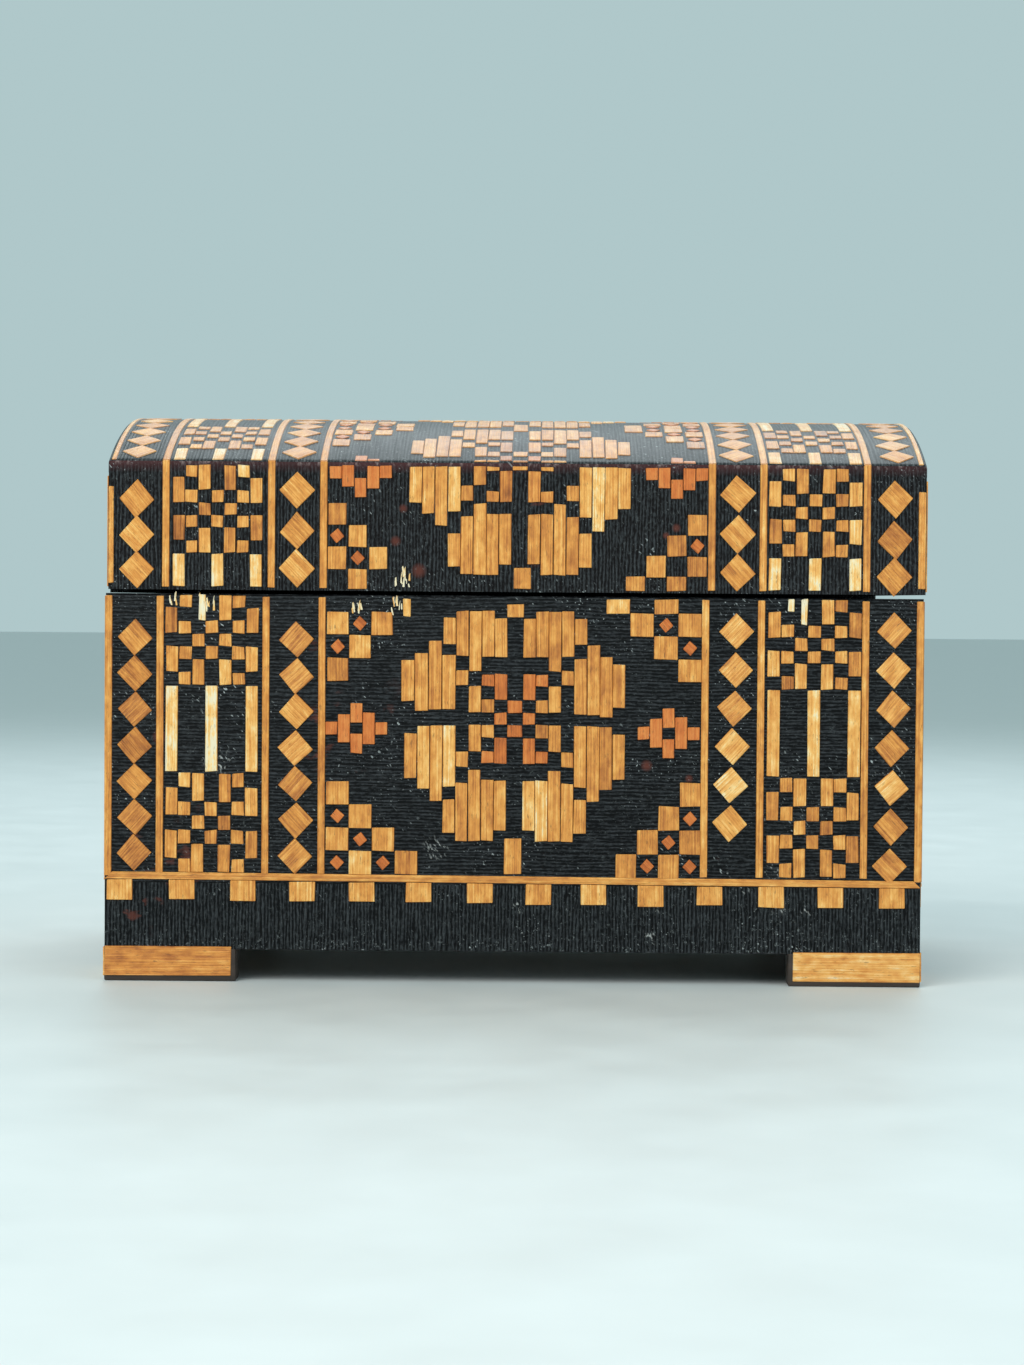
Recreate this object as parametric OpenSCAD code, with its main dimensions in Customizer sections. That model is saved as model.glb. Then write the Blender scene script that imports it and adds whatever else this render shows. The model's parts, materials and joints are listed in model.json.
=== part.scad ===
// Straw-inlaid wooden casket with a wind-up musical movement.
// Frame: X to the right, front face towards -Y, Z up, origin under the middle of the box.

/* [Casket] */
// Width over the straw facings
case_w = 164; // [150:0.5:180]
// Depth of the box from front face to back face
case_d = 100; // [96:0.5:110]
// Height of the four feet
foot_h = 6.5; // [5:0.5:9]
// Top of the plinth boards
plinth_top = 19.8; // [18:0.2:22]
// Top edge of the case walls
case_top = 77.7; // [74:0.1:84]
// Gap between case and lid at the front and right
seam_gap = 0.8; // [0.3:0.1:1]
// Gap between case and lid at the back and left
tight_gap = 0.1; // [0.1:0.05:0.5]
// Height of the edge where the lid top starts to curve
crease_z = 104.3; // [100:0.1:112]
// Rise of the barrel-shaped lid top above that edge
lid_rise = 10.75; // [6:0.25:16]
// Thickness of the wall boards
wall_t = 4; // [3:0.5:5]
// Thickness of the bent lid top
top_t = 2.5; // [2:0.25:3]
// Thickness of the bottom board
board_t = 3; // [2.5:0.5:4]
// How far the lid sits to the right of the case
lid_shift = 0.4; // [0:0.1:0.8]
// Length of one foot along the front and along the side
foot_len = 26.4; // [20:0.2:32]

/* [Straw] */
// Thickness of the glued straw
straw_t = 0.25; // [0.2:0.05:0.4]
// Width of the thin straw lines
line_w = 1.5; // [1:0.1:2]
// Half width of the straw diamonds
diamond_r = 3.4; // [2.8:0.1:3.5]
// Spacing of the diamonds in a column
diamond_pitch = 7.2; // [7.1:0.1:8]
// Number of square tabs under the straw line
tab_count = 14; // [8:1:16]

/* [Hinges] */
// Distance of each hinge from the middle
hinge_x = 48; // [30:1:60]
// Length of one hinge
hinge_len = 24; // [20:1:30]
// Radius of the hinge knuckles
knuckle_r = 1.3; // [1.2:0.05:1.6]
// Radius of the hinge pin
hinge_pin_r = 0.6; // [0.5:0.05:0.7]

/* [Movement] */
// Position of the winding axis across the box
mov_x = -55.5; // [-57:0.5:-55]
// Position of the winding axis along the depth
mov_y = -24; // [-26:0.5:-22]
// Radius of the mainspring barrel
barrel_r = 14; // [14:0.5:14]
// Radius of the pinned cylinder
drum_r = 6.5; // [6:0.1:6.6]
// Length of the pinned cylinder
drum_len = 24; // [24:1:24]
// Number of comb teeth
tine_count = 18; // [16:1:18]

/* [Hidden] */
// Glue line between the lid's end boards and its top
glue_gap = 0.03;
$fn = 64;
gap = 0.05;

// Case outline; the whole box with straw and hinges is centred on the origin
hinge_out = knuckle_r;
depth_all = straw_t + case_d + hinge_out + knuckle_r;
front_y = -depth_all / 2 + straw_t;
back_y = front_y + case_d;
mid_y = (front_y + back_y) / 2;
case_x0 = -case_w / 2 + straw_t - lid_shift / 2;
case_x1 = case_w / 2 - straw_t - lid_shift / 2;
lid_x0 = case_x0 + lid_shift;
lid_x1 = case_x1 + lid_shift;
lid_z = case_top + seam_gap;
tight_z = case_top + tight_gap;
floor_z = plinth_top + board_t;
hinge_y = back_y + hinge_out;
hinge_z = case_top + tight_gap / 2;

// Barrel top of the lid: radius and centre of the outer arc
half_d = case_d / 2;
arc_r = (half_d * half_d + lid_rise * lid_rise) / (2 * lid_rise);
arc_z = crease_z + lid_rise - arc_r;

// Movement levels and gear sizes
bed_t = 1.8;
bed_z = floor_z + bed_t;
arbor_r = 2;
crown_n = 44;
pinion_n = 10;
module_crown = 0.6;
crown_r = crown_n * module_crown / 2;
pinion_r = pinion_n * module_crown / 2;
barrel_z0 = bed_z + 2.2;
barrel_z1 = barrel_z0 + 9.2;
crown_h = 1.2;
axis_z = barrel_z1 + crown_h / 2 + pinion_r;
drum_y0 = mov_y + 16.2;
drum_y1 = drum_y0 + drum_len;
drum_bore = 1;
pin_len = 0.6;
gear_n = 40;
train_n = 8;
wheel_n = 24;
module_train = 0.4;
gear_y0 = drum_y1 + 0.4;
gear_t = 1.5;
train_x = mov_x - (gear_n + train_n) * module_train / 2;
worm_pitch_r = 1.6;
wheel_r = wheel_n * module_train / 2;
worm_x = train_x - wheel_r - worm_pitch_r;
wheel_y0 = drum_y1 + 4;
wheel_t = 1.2;
worm_y = wheel_y0 + wheel_t / 2;
worm_lead = PI * module_train;
frame_y0 = drum_y1 - 2;
frame_y1 = drum_y1 + 9.6;
frame_top = bed_z + 28.4;
shaft_top = frame_top + 0.8;
cover_z = 58;
cover_t = 1.6;
bay_x1 = -22;
divider_t = 3;
divider_top = 72;

// ---------- helpers ----------

// Box between two corners
module block(lo, hi) {
  translate(lo) cube(hi - lo);
}

// Upright round bar
module post(x, y, z0, z1, r) {
  translate([x, y, z0]) cylinder(h = z1 - z0, r = r);
}

// Round bar along Y
module bar_y(x, z, y0, y1, r) {
  translate([x, y1, z]) rotate([90, 0, 0]) cylinder(h = y1 - y0, r = r);
}

// Round bar along X
module bar_x(y, z, x0, x1, r) {
  translate([x0, y, z]) rotate([0, 90, 0]) cylinder(h = x1 - x0, r = r);
}

// Flat shape drawn in X and Z, standing between y0 and y1
module upright(y0, y1) {
  translate([0, y1, 0]) rotate([90, 0, 0]) linear_extrude(y1 - y0) children();
}

// Flat shape drawn in Y and Z, standing between x0 and x1
module sideways(x0, x1) {
  translate([x0, 0, 0]) rotate([90, 0, 90]) linear_extrude(x1 - x0) children();
}

// Gear outline: straight-sided teeth, one pointing along +X when turned by 0
module gear_2d(n, root_r, tip_r, root_w, tip_w, turn = 0) {
  circle(r = root_r);
  for (i = [0 : n - 1])
    rotate(turn + i * 360 / n)
      polygon([[root_r - 0.3, -root_w / 2], [tip_r, -tip_w / 2],
        [tip_r, tip_w / 2], [root_r - 0.3, root_w / 2]]);
}

// ---------- case ----------

module wall_x(y0, z0, z1, x0, x1) {
  block([x0, y0, z0], [x1, y0 + wall_t, z1]);
}

module wall_y(x0, z0, z1) {
  block([x0, front_y + wall_t, z0], [x0 + wall_t, back_y - wall_t, z1]);
}

module plinth_front() {
  color([0.13, 0.13, 0.14]) wall_x(front_y, foot_h, plinth_top, case_x0, case_x1);
}

module plinth_back() {
  color([0.13, 0.13, 0.14]) wall_x(back_y - wall_t, foot_h, plinth_top, case_x0, case_x1);
}

module plinth_left() {
  color([0.13, 0.13, 0.14]) wall_y(case_x0, foot_h, plinth_top);
}

module plinth_right() {
  color([0.13, 0.13, 0.14]) wall_y(case_x1 - wall_t, foot_h, plinth_top);
}

// Places of the three screws that hold the movement
SCREWS = [[mov_x - 18, mov_y - 11], [mov_x + 21, mov_y - 4], [mov_x - 4, frame_y1 + 1]];
screw_r = 1.2;
screw_head_r = 2.4;

module bottom_board() {
  color([0.35, 0.25, 0.17]) difference() {
    block([case_x0 + wall_t, front_y + wall_t, plinth_top],
      [case_x1 - wall_t, back_y - wall_t, floor_z]);
    post(mov_x, mov_y, plinth_top - 1, floor_z + 1, arbor_r + 2);
    for (p = SCREWS)
      post(p[0], p[1], plinth_top - 1, floor_z + 1, screw_r + gap);
  }
}

module front_panel() {
  color([0.14, 0.15, 0.16]) wall_x(front_y, plinth_top, case_top, case_x0, case_x1);
}

module back_panel() {
  color([0.14, 0.15, 0.16]) difference() {
    wall_x(back_y - wall_t, plinth_top, case_top, case_x0, case_x1);
    nail_holes(-1);
  }
}

module left_panel() {
  color([0.14, 0.15, 0.16]) wall_y(case_x0, plinth_top, case_top);
}

module right_panel() {
  color([0.14, 0.15, 0.16]) wall_y(case_x1 - wall_t, plinth_top, case_top);
}

// One L-shaped bracket foot; sx and sy pick the corner
foot_t = 7;
foot_d = foot_len - 0.4;
module foot(sx, sy) {
  cx = sx < 0 ? case_x0 : case_x1;
  cy = sy < 0 ? front_y : back_y;
  color([0.2, 0.15, 0.11]) translate([cx, cy, 0]) linear_extrude(foot_h)
    polygon([for (p = [[0, 0], [foot_len, 0], [foot_len, foot_t], [foot_t, foot_t],
      [foot_t, foot_d], [0, foot_d]]) [-sx * p[0], -sy * p[1]]]);
}

module foot_front_left() { foot(-1, -1); }
module foot_front_right() { foot(1, -1); }
module foot_back_left() { foot(-1, 1); }
module foot_back_right() { foot(1, 1); }

module compartment_divider() {
  color([0.36, 0.24, 0.15])
    block([bay_x1, front_y + wall_t, floor_z], [bay_x1 + divider_t, back_y - wall_t, divider_top]);
}

// Felt lining of the trinket compartment: floor and four sides
lining_t = 0.8;
lining_top = 71;
module compartment_lining() {
  x0 = bay_x1 + divider_t;
  x1 = case_x1 - wall_t;
  y0 = front_y + wall_t;
  y1 = back_y - wall_t;
  t = lining_t;
  color([0.45, 0.06, 0.08]) difference() {
    block([x0, y0, floor_z], [x1, y1, lining_top]);
    block([x0 + t, y0 + t, floor_z + t], [x1 - t, y1 - t, lining_top + 1]);
  }
}

// Two strips of wood that carry the clear cover
cleat_w = 2.6;
cleat_h = 4;
module cover_cleats() {
  color([0.36, 0.24, 0.15]) {
    block([case_x0 + wall_t, front_y + wall_t, cover_z - cleat_h],
      [case_x0 + wall_t + cleat_w, back_y - wall_t, cover_z]);
    block([bay_x1 - cleat_w, front_y + wall_t, cover_z - cleat_h],
      [bay_x1, back_y - wall_t, cover_z]);
  }
}

stop_r = 0.75;
module movement_cover() {
  slack = 0.2;
  color([0.8, 0.9, 0.95, 0.4]) difference() {
    block([case_x0 + wall_t + slack, front_y + wall_t + slack, cover_z],
      [bay_x1 - slack, back_y - wall_t - slack, cover_z + cover_t]);
    post(worm_x, worm_y, cover_z - 1, cover_z + cover_t + 1, stop_r + gap);
  }
}

// ---------- hinges ----------

leaf_t = 0.8;
leaf_h = 11;
nail_r = 0.5;
nail_len = 3.2;
nail_head_r = 1.1;
knuckles = 5;
knuckle_len = hinge_len / knuckles;
knuckle_gap = 0.1;

// One leaf plate with its knuckles; side is -1 for the case, 1 for the lid
module leaf(cx, side) {
  first = side < 0 ? 0 : 1;
  root_z = hinge_z + side * (knuckle_r + 0.3);
  far_z = hinge_z + side * leaf_h;
  difference() {
    union() {
      block([cx - hinge_len / 2, back_y, min(root_z, far_z)],
        [cx + hinge_len / 2, back_y + leaf_t, max(root_z, far_z)]);
      for (i = [first : 2 : knuckles - 1]) {
        k0 = cx - hinge_len / 2 + i * knuckle_len + knuckle_gap;
        k1 = k0 + knuckle_len - 2 * knuckle_gap;
        bar_x(hinge_y, hinge_z, k0, k1, knuckle_r);
        block([k0, back_y, min(hinge_z, root_z)], [k1, back_y + leaf_t, max(hinge_z, root_z)]);
      }
    }
    bar_x(hinge_y, hinge_z, cx - hinge_len, cx + hinge_len, hinge_pin_r + gap);
    leaf_holes(cx, side);
  }
}

// Nail places on one leaf
module leaf_holes(cx, side) {
  for (dx = [-8.5, 0, 8.5])
    bar_y(cx + dx, hinge_z + side * 7.2, back_y - nail_len - 0.3, back_y + leaf_t + 1,
      nail_r + 0.02);
}

module nail_holes(side) {
  for (s = [-1, 1])
    leaf_holes(s * hinge_x, side);
}

module nails(side) {
  for (s = [-1, 1])
    for (dx = [-8.5, 0, 8.5]) {
      bar_y(s * hinge_x + dx, hinge_z + side * 7.2, back_y - nail_len, back_y + leaf_t, nail_r);
      bar_y(s * hinge_x + dx, hinge_z + side * 7.2, back_y + leaf_t, back_y + leaf_t + 0.5,
        nail_head_r);
    }
}

module hinge_leaf_case() {
  color([0.72, 0.56, 0.25])
    for (s = [-1, 1])
      leaf(s * hinge_x, -1);
}

module hinge_leaf_lid() {
  color([0.72, 0.56, 0.25])
    for (s = [-1, 1])
      leaf(s * hinge_x, 1);
}

module hinge_pins() {
  color([0.6, 0.5, 0.28])
    for (s = [-1, 1])
      bar_x(hinge_y, hinge_z, s * hinge_x - hinge_len / 2, s * hinge_x + hinge_len / 2,
        hinge_pin_r);
}

module hinge_nails_case() {
  color([0.75, 0.6, 0.3]) nails(-1);
}

module hinge_nails_lid() {
  color([0.75, 0.6, 0.3]) nails(1);
}

// ---------- lid ----------

// Side view of everything under an arc a distance t inside the lid top
module under_arc(t, z0) {
  intersection() {
    translate([mid_y, arc_z]) circle(r = arc_r - t, $fn = 180);
    translate([front_y, z0]) square([case_d, arc_r]);
  }
}

lid_wall_top = arc_z + sqrt(pow(arc_r - top_t, 2) - pow(half_d, 2));

module lid_front() {
  color([0.14, 0.15, 0.16]) intersection() {
    block([lid_x0, front_y, lid_z], [lid_x1, front_y + wall_t, crease_z]);
    sideways(lid_x0, lid_x1) under_arc(top_t, lid_z);
  }
}

module lid_back() {
  color([0.14, 0.15, 0.16]) difference() {
    intersection() {
      block([lid_x0, back_y - wall_t, tight_z], [lid_x1, back_y, crease_z]);
      sideways(lid_x0, lid_x1) under_arc(top_t, tight_z);
    }
    nail_holes(1);
  }
}

// Arched end board; its foot is a straight edge
module lid_end(x0, z0) {
  intersection() {
    block([x0, front_y + wall_t, z0], [x0 + wall_t, back_y - wall_t, crease_z + lid_rise]);
    sideways(x0, x0 + wall_t) under_arc(top_t + glue_gap, z0);
  }
}

module lid_end_left() {
  color([0.14, 0.15, 0.16]) lid_end(lid_x0, tight_z);
}

module lid_end_right() {
  color([0.14, 0.15, 0.16]) lid_end(lid_x1 - wall_t, lid_z);
}

module lid_top() {
  color([0.2, 0.22, 0.24]) sideways(lid_x0, lid_x1) difference() {
    under_arc(0, lid_wall_top - 5);
    under_arc(top_t, 0);
    translate([front_y - 1, 0]) square([case_d + 2, lid_wall_top]);
  }
}

// Paper lining glued under the bent top, between the lid boards
module lid_lining() {
  t = 0.5;
  color([0.45, 0.06, 0.08]) sideways(lid_x0 + wall_t, lid_x1 - wall_t) intersection() {
    difference() {
      under_arc(top_t, 0);
      under_arc(top_t + t, 0);
    }
    translate([front_y + wall_t, 0]) square([case_d - 2 * wall_t, arc_r]);
  }
}

// Block inside the lid that holds the stop pin down while the lid is shut
module lid_stop_block() {
  z0 = case_top + 1.6;
  color([0.36, 0.24, 0.15])
    block([lid_x0 + wall_t, worm_y - 4, z0], [worm_x + 3, worm_y + 4, z0 + 7]);
}

// ---------- straw ----------

// Square on its point, drawn in the plane of a face
module diamond() {
  rotate(45) square(diamond_r * sqrt(2), center = true);
}

// Straw lines, tabs and diamonds of a long face, drawn in X and Z
LINES = [-81, -70.8, -49.5, -38.5, 38.3, 49.5, 70.3, 81];
COLUMNS = [-75.9, -44, 44, 75.9];
line_z = 20.9;
module case_face() {
  for (x = LINES)
    translate([x - line_w / 2, line_z]) square([line_w, case_top - line_z - 0.4]);
  translate([-case_w / 2 + 1, line_z - line_w / 2]) square([case_w - 2, line_w]);
  pitch = (case_w - 9.2) / (tab_count - 0.5);
  for (i = [0 : tab_count - 1])
    translate([-case_w / 2 + 0.9 + i * pitch, line_z - 5]) square([5.2, 4.25]);
  for (x = COLUMNS, i = [0 : 6])
    translate([x, 26 + i * diamond_pitch]) diamond();
}

// Short face of the case, drawn in Y and Z around its middle
module case_end() {
  for (y = [-48, -36, 36, 48])
    translate([y - line_w / 2, line_z]) square([line_w, case_top - line_z - 0.4]);
  translate([-half_d + 1, line_z - line_w / 2]) square([case_d - 2, line_w]);
  for (i = [0 : 7])
    translate([-half_d + 3 + i * 12.7, line_z - 5]) square([5.2, 4.25]);
  for (y = [-42, 42], i = [0 : 6])
    translate([y, 26 + i * diamond_pitch]) diamond();
}

module body_straw() {
  mid_x = (case_x0 + case_x1) / 2;
  color([0.82, 0.6, 0.32]) {
    translate([mid_x, 0, 0]) upright(front_y - straw_t, front_y) case_face();
    translate([mid_x, 0, 0]) upright(back_y, back_y + straw_t) back_face();
    translate([0, mid_y, 0]) sideways(case_x0 - straw_t, case_x0) case_end();
    translate([0, mid_y, 0]) sideways(case_x1, case_x1 + straw_t) case_end();
  }
}

// Back face of the case, clear of the hinge leaves
module back_face() {
  difference() {
    case_face();
    for (s = [-1, 1])
      translate([s * hinge_x - hinge_len / 2 - 1, hinge_z - leaf_h - 1])
        square([hinge_len + 2, leaf_h + 2]);
  }
}

module foot_straw() {
  low = 1.2;
  edge = 0.5;
  face_h = foot_h - low;
  color([0.82, 0.6, 0.32])
    for (sx = [-1, 1], sy = [-1, 1]) {
      x0 = sx < 0 ? case_x0 : case_x1 - foot_len;
      y0 = sy < 0 ? front_y : back_y - foot_d;
      yf = sy < 0 ? front_y - straw_t : back_y;
      xf = sx < 0 ? case_x0 - straw_t : case_x1;
      translate([x0 + edge, yf, low]) cube([foot_len - 2 * edge, straw_t, face_h]);
      translate([xf, y0 + edge, low]) cube([straw_t, foot_d - 2 * edge, face_h]);
    }
}

// Long face of the lid, drawn in X and Z
module lid_face() {
  for (x = LINES)
    translate([x - line_w / 2, lid_z + 0.4]) square([line_w, crease_z - lid_z - 1]);
  for (x = COLUMNS, i = [0 : 2])
    translate([x, lid_z + 5 + i * diamond_pitch]) diamond();
}

module lid_straw() {
  mid_x = (lid_x0 + lid_x1) / 2;
  color([0.82, 0.6, 0.32]) {
    translate([mid_x, 0, 0]) upright(front_y - straw_t, front_y) lid_face();
    translate([mid_x, 0, 0]) upright(back_y, back_y + straw_t) difference() {
      lid_face();
      for (s = [-1, 1])
        translate([s * hinge_x - hinge_len / 2 - 1 - mid_x, hinge_z - 1])
          square([hinge_len + 2, leaf_h + 2]);
    }
    for (y = [-48, -36, 36, 48])
      for (x = [lid_x0 - straw_t, lid_x1])
        translate([x, mid_y + y - line_w / 2, lid_z + 0.4])
          cube([straw_t, line_w, crease_z - lid_z - 4]);
    for (x = LINES)
      sideways(mid_x + x - line_w / 2, mid_x + x + line_w / 2) intersection() {
        difference() {
          translate([mid_y, arc_z]) circle(r = arc_r + straw_t, $fn = 180);
          translate([mid_y, arc_z]) circle(r = arc_r, $fn = 180);
        }
        translate([front_y + 0.6, crease_z - 2]) square([case_d - 1.2, lid_rise + 4]);
      }
  }
}

// ---------- movement: fixed pieces ----------

bed_x0 = mov_x - 21;
bed_x1 = mov_x + 25;
bed_y0 = mov_y - 17.5;
bed_y1 = frame_y1 + 4;
click_x = mov_x + 11.5;
click_y = mov_y - 13;
click_post_r = 0.8;

module bedplate() {
  color([0.72, 0.6, 0.34]) difference() {
    block([bed_x0, bed_y0, floor_z], [bed_x1, bed_y1, bed_z]);
    post(mov_x, mov_y, floor_z - 1, bed_z + 1, arbor_r + gap);
    for (p = SCREWS)
      post(p[0], p[1], floor_z - 1, bed_z + 1, screw_r + 0.02);
    post(click_x, click_y, floor_z - 1, bed_z + 1, click_post_r + 0.02);
  }
}

comb_t = 1;
comb_x0 = mov_x + drum_r + pin_len + 0.2;
comb_x1 = mov_x + 24.4;
heel_x0 = mov_x + 16;
comb_z = axis_z - comb_t / 2;

module comb_base() {
  color([0.66, 0.54, 0.3]) difference() {
    block([heel_x0, drum_y0 - 0.4, bed_z], [comb_x1, drum_y1 + 0.4, comb_z]);
    comb_screw_holes(comb_z - 5, comb_z + 1, screw_r + 0.02);
  }
}

module comb_screw_holes(z0, z1, r) {
  for (i = [-1, 1])
    post(mov_x + 20.4, (drum_y0 + drum_y1) / 2 + i * 7.5, z0, z1, r);
}

tine_pitch = (drum_len - 1.5) / tine_count;
tine_w = tine_pitch - 0.35;
module comb() {
  color([0.62, 0.64, 0.66]) difference() {
    union() {
      block([heel_x0, drum_y0 - 0.4, comb_z], [comb_x1, drum_y1 + 0.4, comb_z + comb_t]);
      for (i = [0 : tine_count - 1])
        translate([comb_x0, drum_y0 + 0.75 + (i + 0.5) * tine_pitch - tine_w / 2, comb_z])
          cube([heel_x0 - comb_x0 + 0.5, tine_w, comb_t]);
    }
    comb_screw_holes(comb_z - 1, comb_z + comb_t + 1, screw_r + 0.02);
  }
}

module comb_screws() {
  color([0.5, 0.52, 0.56]) difference() {
    for (i = [-1, 1]) {
      cy = (drum_y0 + drum_y1) / 2 + i * 7.5;
      post(mov_x + 20.4, cy, comb_z - 4.5, comb_z + comb_t, screw_r);
      post(mov_x + 20.4, cy, comb_z + comb_t, comb_z + comb_t + 1.2, 2.1);
    }
    for (i = [-1, 1])
      translate([mov_x + 20.4, (drum_y0 + drum_y1) / 2 + i * 7.5, comb_z + comb_t + 1])
        cube([5, 0.5, 0.9], center = true);
  }
}

// Upright bearing for the cylinder arbor
module bearing(y0, y1) {
  half_w = 3.6;
  difference() {
    union() {
      block([mov_x - half_w, y0, bed_z], [mov_x + half_w, y1, axis_z]);
      bar_y(mov_x, axis_z, y0, y1, half_w);
    }
    bar_y(mov_x, axis_z, y0 - 1, y1 + 1, drum_bore + gap);
  }
}

module front_bearing() {
  color([0.7, 0.57, 0.32]) bearing(drum_y0 - 1.6, drum_y0 - 0.6);
}

module rear_bearing() {
  color([0.7, 0.57, 0.32]) bearing(gear_y0 + gear_t + 0.5, gear_y0 + gear_t + 1.5);
}

train_shaft_r = 0.6;
worm_shaft_r = 0.5;
plate_t = 1;
module governor_frame() {
  x0 = worm_x - 4.4;
  x1 = mov_x - drum_r - 1.5;
  color([0.7, 0.57, 0.32]) difference() {
    union() {
      block([x0, frame_y0, bed_z], [x1, frame_y1, bed_z + 1.4]);
      block([x0 + 6, frame_y0, bed_z], [x1, frame_y0 + plate_t, axis_z + 3]);
      block([x0, frame_y1 - plate_t, bed_z], [x1, frame_y1, frame_top]);
      block([x0, worm_y - 2, frame_top - 1], [x0 + 8.4, frame_y1, frame_top]);
    }
    bar_y(train_x, axis_z, frame_y0 - 1, frame_y1 + 1, train_shaft_r + gap);
    post(worm_x, worm_y, bed_z - 1, frame_top + 1, worm_shaft_r + gap);
  }
}

module movement_screws() {
  color([0.5, 0.52, 0.56]) difference() {
    for (p = SCREWS) {
      post(p[0], p[1], plinth_top, bed_z - 0.2, screw_r);
      post(p[0], p[1], plinth_top - 1.3, plinth_top, screw_head_r);
    }
    for (p = SCREWS)
      translate([p[0], p[1], plinth_top - 1.2]) cube([6, 0.6, 0.9], center = true);
  }
}

// ---------- movement: spring barrel ----------

barrel_in = barrel_r - 1.4;
module spring_barrel() {
  color([0.76, 0.62, 0.34]) difference() {
    union() {
      post(mov_x, mov_y, barrel_z0, barrel_z1, barrel_r);
      for (i = [0 : crown_n - 1])
        translate([mov_x, mov_y, barrel_z1 - 0.1]) rotate(90 + i * 360 / crown_n)
          translate([crown_r - 0.4, -0.3, 0]) cube([1.1, 0.6, crown_h + 0.1]);
    }
    post(mov_x, mov_y, barrel_z0 + 1, barrel_z1 + 3, barrel_in);
    post(mov_x, mov_y, barrel_z0 - 1, barrel_z0 + 2, arbor_r + gap);
  }
}

module barrel_cap() {
  color([0.78, 0.66, 0.4]) difference() {
    post(mov_x, mov_y, barrel_z1 - 1.2, barrel_z1 - 0.2, barrel_in - 0.02);
    post(mov_x, mov_y, barrel_z1 - 2, barrel_z1 + 1, arbor_r + gap);
  }
}

// Flat steel ribbon wound as rings joined by a short radial bridge
module mainspring() {
  rings = 8;
  ribbon = 0.35;
  step = (barrel_in - arbor_r - 1.2) / rings;
  z0 = barrel_z0 + 1.3;
  z1 = barrel_z1 - 1.5;
  color([0.4, 0.42, 0.46]) {
    for (i = [0 : rings - 1])
      difference() {
        post(mov_x, mov_y, z0, z1, arbor_r + 0.8 + i * step + ribbon);
        post(mov_x, mov_y, z0 - 1, z1 + 1, arbor_r + 0.8 + i * step);
      }
    for (i = [0 : rings - 2])
      translate([mov_x, mov_y, z0]) rotate(i * 47)
        translate([arbor_r + 0.8 + i * step + ribbon / 2, 0, 0]) cube([step, ribbon, z1 - z0]);
  }
}

// ---------- movement: winding ----------

key_z0 = 7.6;
module winding_arbor() {
  color([0.6, 0.62, 0.65]) post(mov_x, mov_y, key_z0 + 3, barrel_z1 + 0.6, arbor_r);
}

module winding_key() {
  wing = 6.2;
  thick = 1.6;
  color([0.74, 0.6, 0.34]) translate([mov_x, mov_y, 0]) difference() {
    union() {
      post(0, 0, key_z0, key_z0 + 9.4, 3.1);
      for (s = [-1, 1])
        translate([s * wing, thick / 2, key_z0 + 4.7]) rotate([90, 0, 0]) difference() {
          key_wing(wing);
          translate([s * 1.2, 0, -1]) cylinder(r = 1.9, h = thick + 2);
        }
    }
    post(0, 0, key_z0 + 3, key_z0 + 12, arbor_r + 0.02);
  }
}

// Rounded wing of the key
module key_wing(wing) {
  thick = 1.6;
  linear_extrude(thick) intersection() {
    circle(r = wing);
    square([2 * wing + 2, 9.4], center = true);
  }
}

ratchet_n = 12;
ratchet_tip = 5.6;
ratchet_root = 4.4;
ratchet_z0 = bed_z + 0.4;
ratchet_z1 = bed_z + 1.6;
module ratchet_wheel() {
  color([0.6, 0.62, 0.65]) translate([mov_x, mov_y, ratchet_z0]) difference() {
    linear_extrude(ratchet_z1 - ratchet_z0)
      polygon([for (i = [0 : ratchet_n - 1], k = [0, 1])
        let (a = i * 360 / ratchet_n, r = k == 0 ? ratchet_root : ratchet_tip)
          [r * cos(a), r * sin(a)]]);
    translate([0, 0, -1]) cylinder(r = arbor_r + 0.01, h = 4);
  }
}

// Pawl with its point behind one ratchet tooth
module click() {
  color([0.62, 0.64, 0.67]) translate([0, 0, ratchet_z0]) difference() {
    linear_extrude(ratchet_z1 - ratchet_z0) union() {
      translate([click_x, click_y]) circle(r = 2);
      polygon([[mov_x + 4.8, mov_y - 0.25], [mov_x + 5.7, mov_y - 0.25],
        [mov_x + 9.4, mov_y - 6], [click_x + 1.3, click_y + 1.4],
        [click_x - 1.3, click_y + 1.4], [mov_x + 7.4, mov_y - 6]]);
    }
    translate([click_x, click_y, -1]) cylinder(r = click_post_r + gap, h = 4);
  }
}

module click_screw() {
  top = ratchet_z1 + 1.9;
  color([0.5, 0.52, 0.56]) {
    post(click_x, click_y, floor_z + 0.2, top, click_post_r);
    post(click_x, click_y, top, top + 0.8, 1.9);
  }
}

// Small coil that keeps the pawl against the ratchet
module click_spring() {
  wire = 0.22;
  color([0.7, 0.72, 0.75])
    for (i = [0 : 2])
      translate([click_x, click_y, ratchet_z1 + 0.3 + i * 0.55])
        rotate_extrude() translate([1.4, 0]) circle(r = wire, $fn = 16);
}

// ---------- movement: cylinder and train ----------

module cylinder_arbor() {
  y_end = gear_y0 + gear_t + 2.6;
  color([0.6, 0.62, 0.65]) {
    bar_y(mov_x, axis_z, mov_y + crown_r - 1.2, y_end, drum_bore);
    translate([mov_x, mov_y + crown_r + 1.1, axis_z]) rotate([90, 0, 0]) linear_extrude(2)
      gear_2d(pinion_n, 2.2, 3.4, 0.9, 0.45, 90 + 180 / pinion_n);
  }
}

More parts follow.
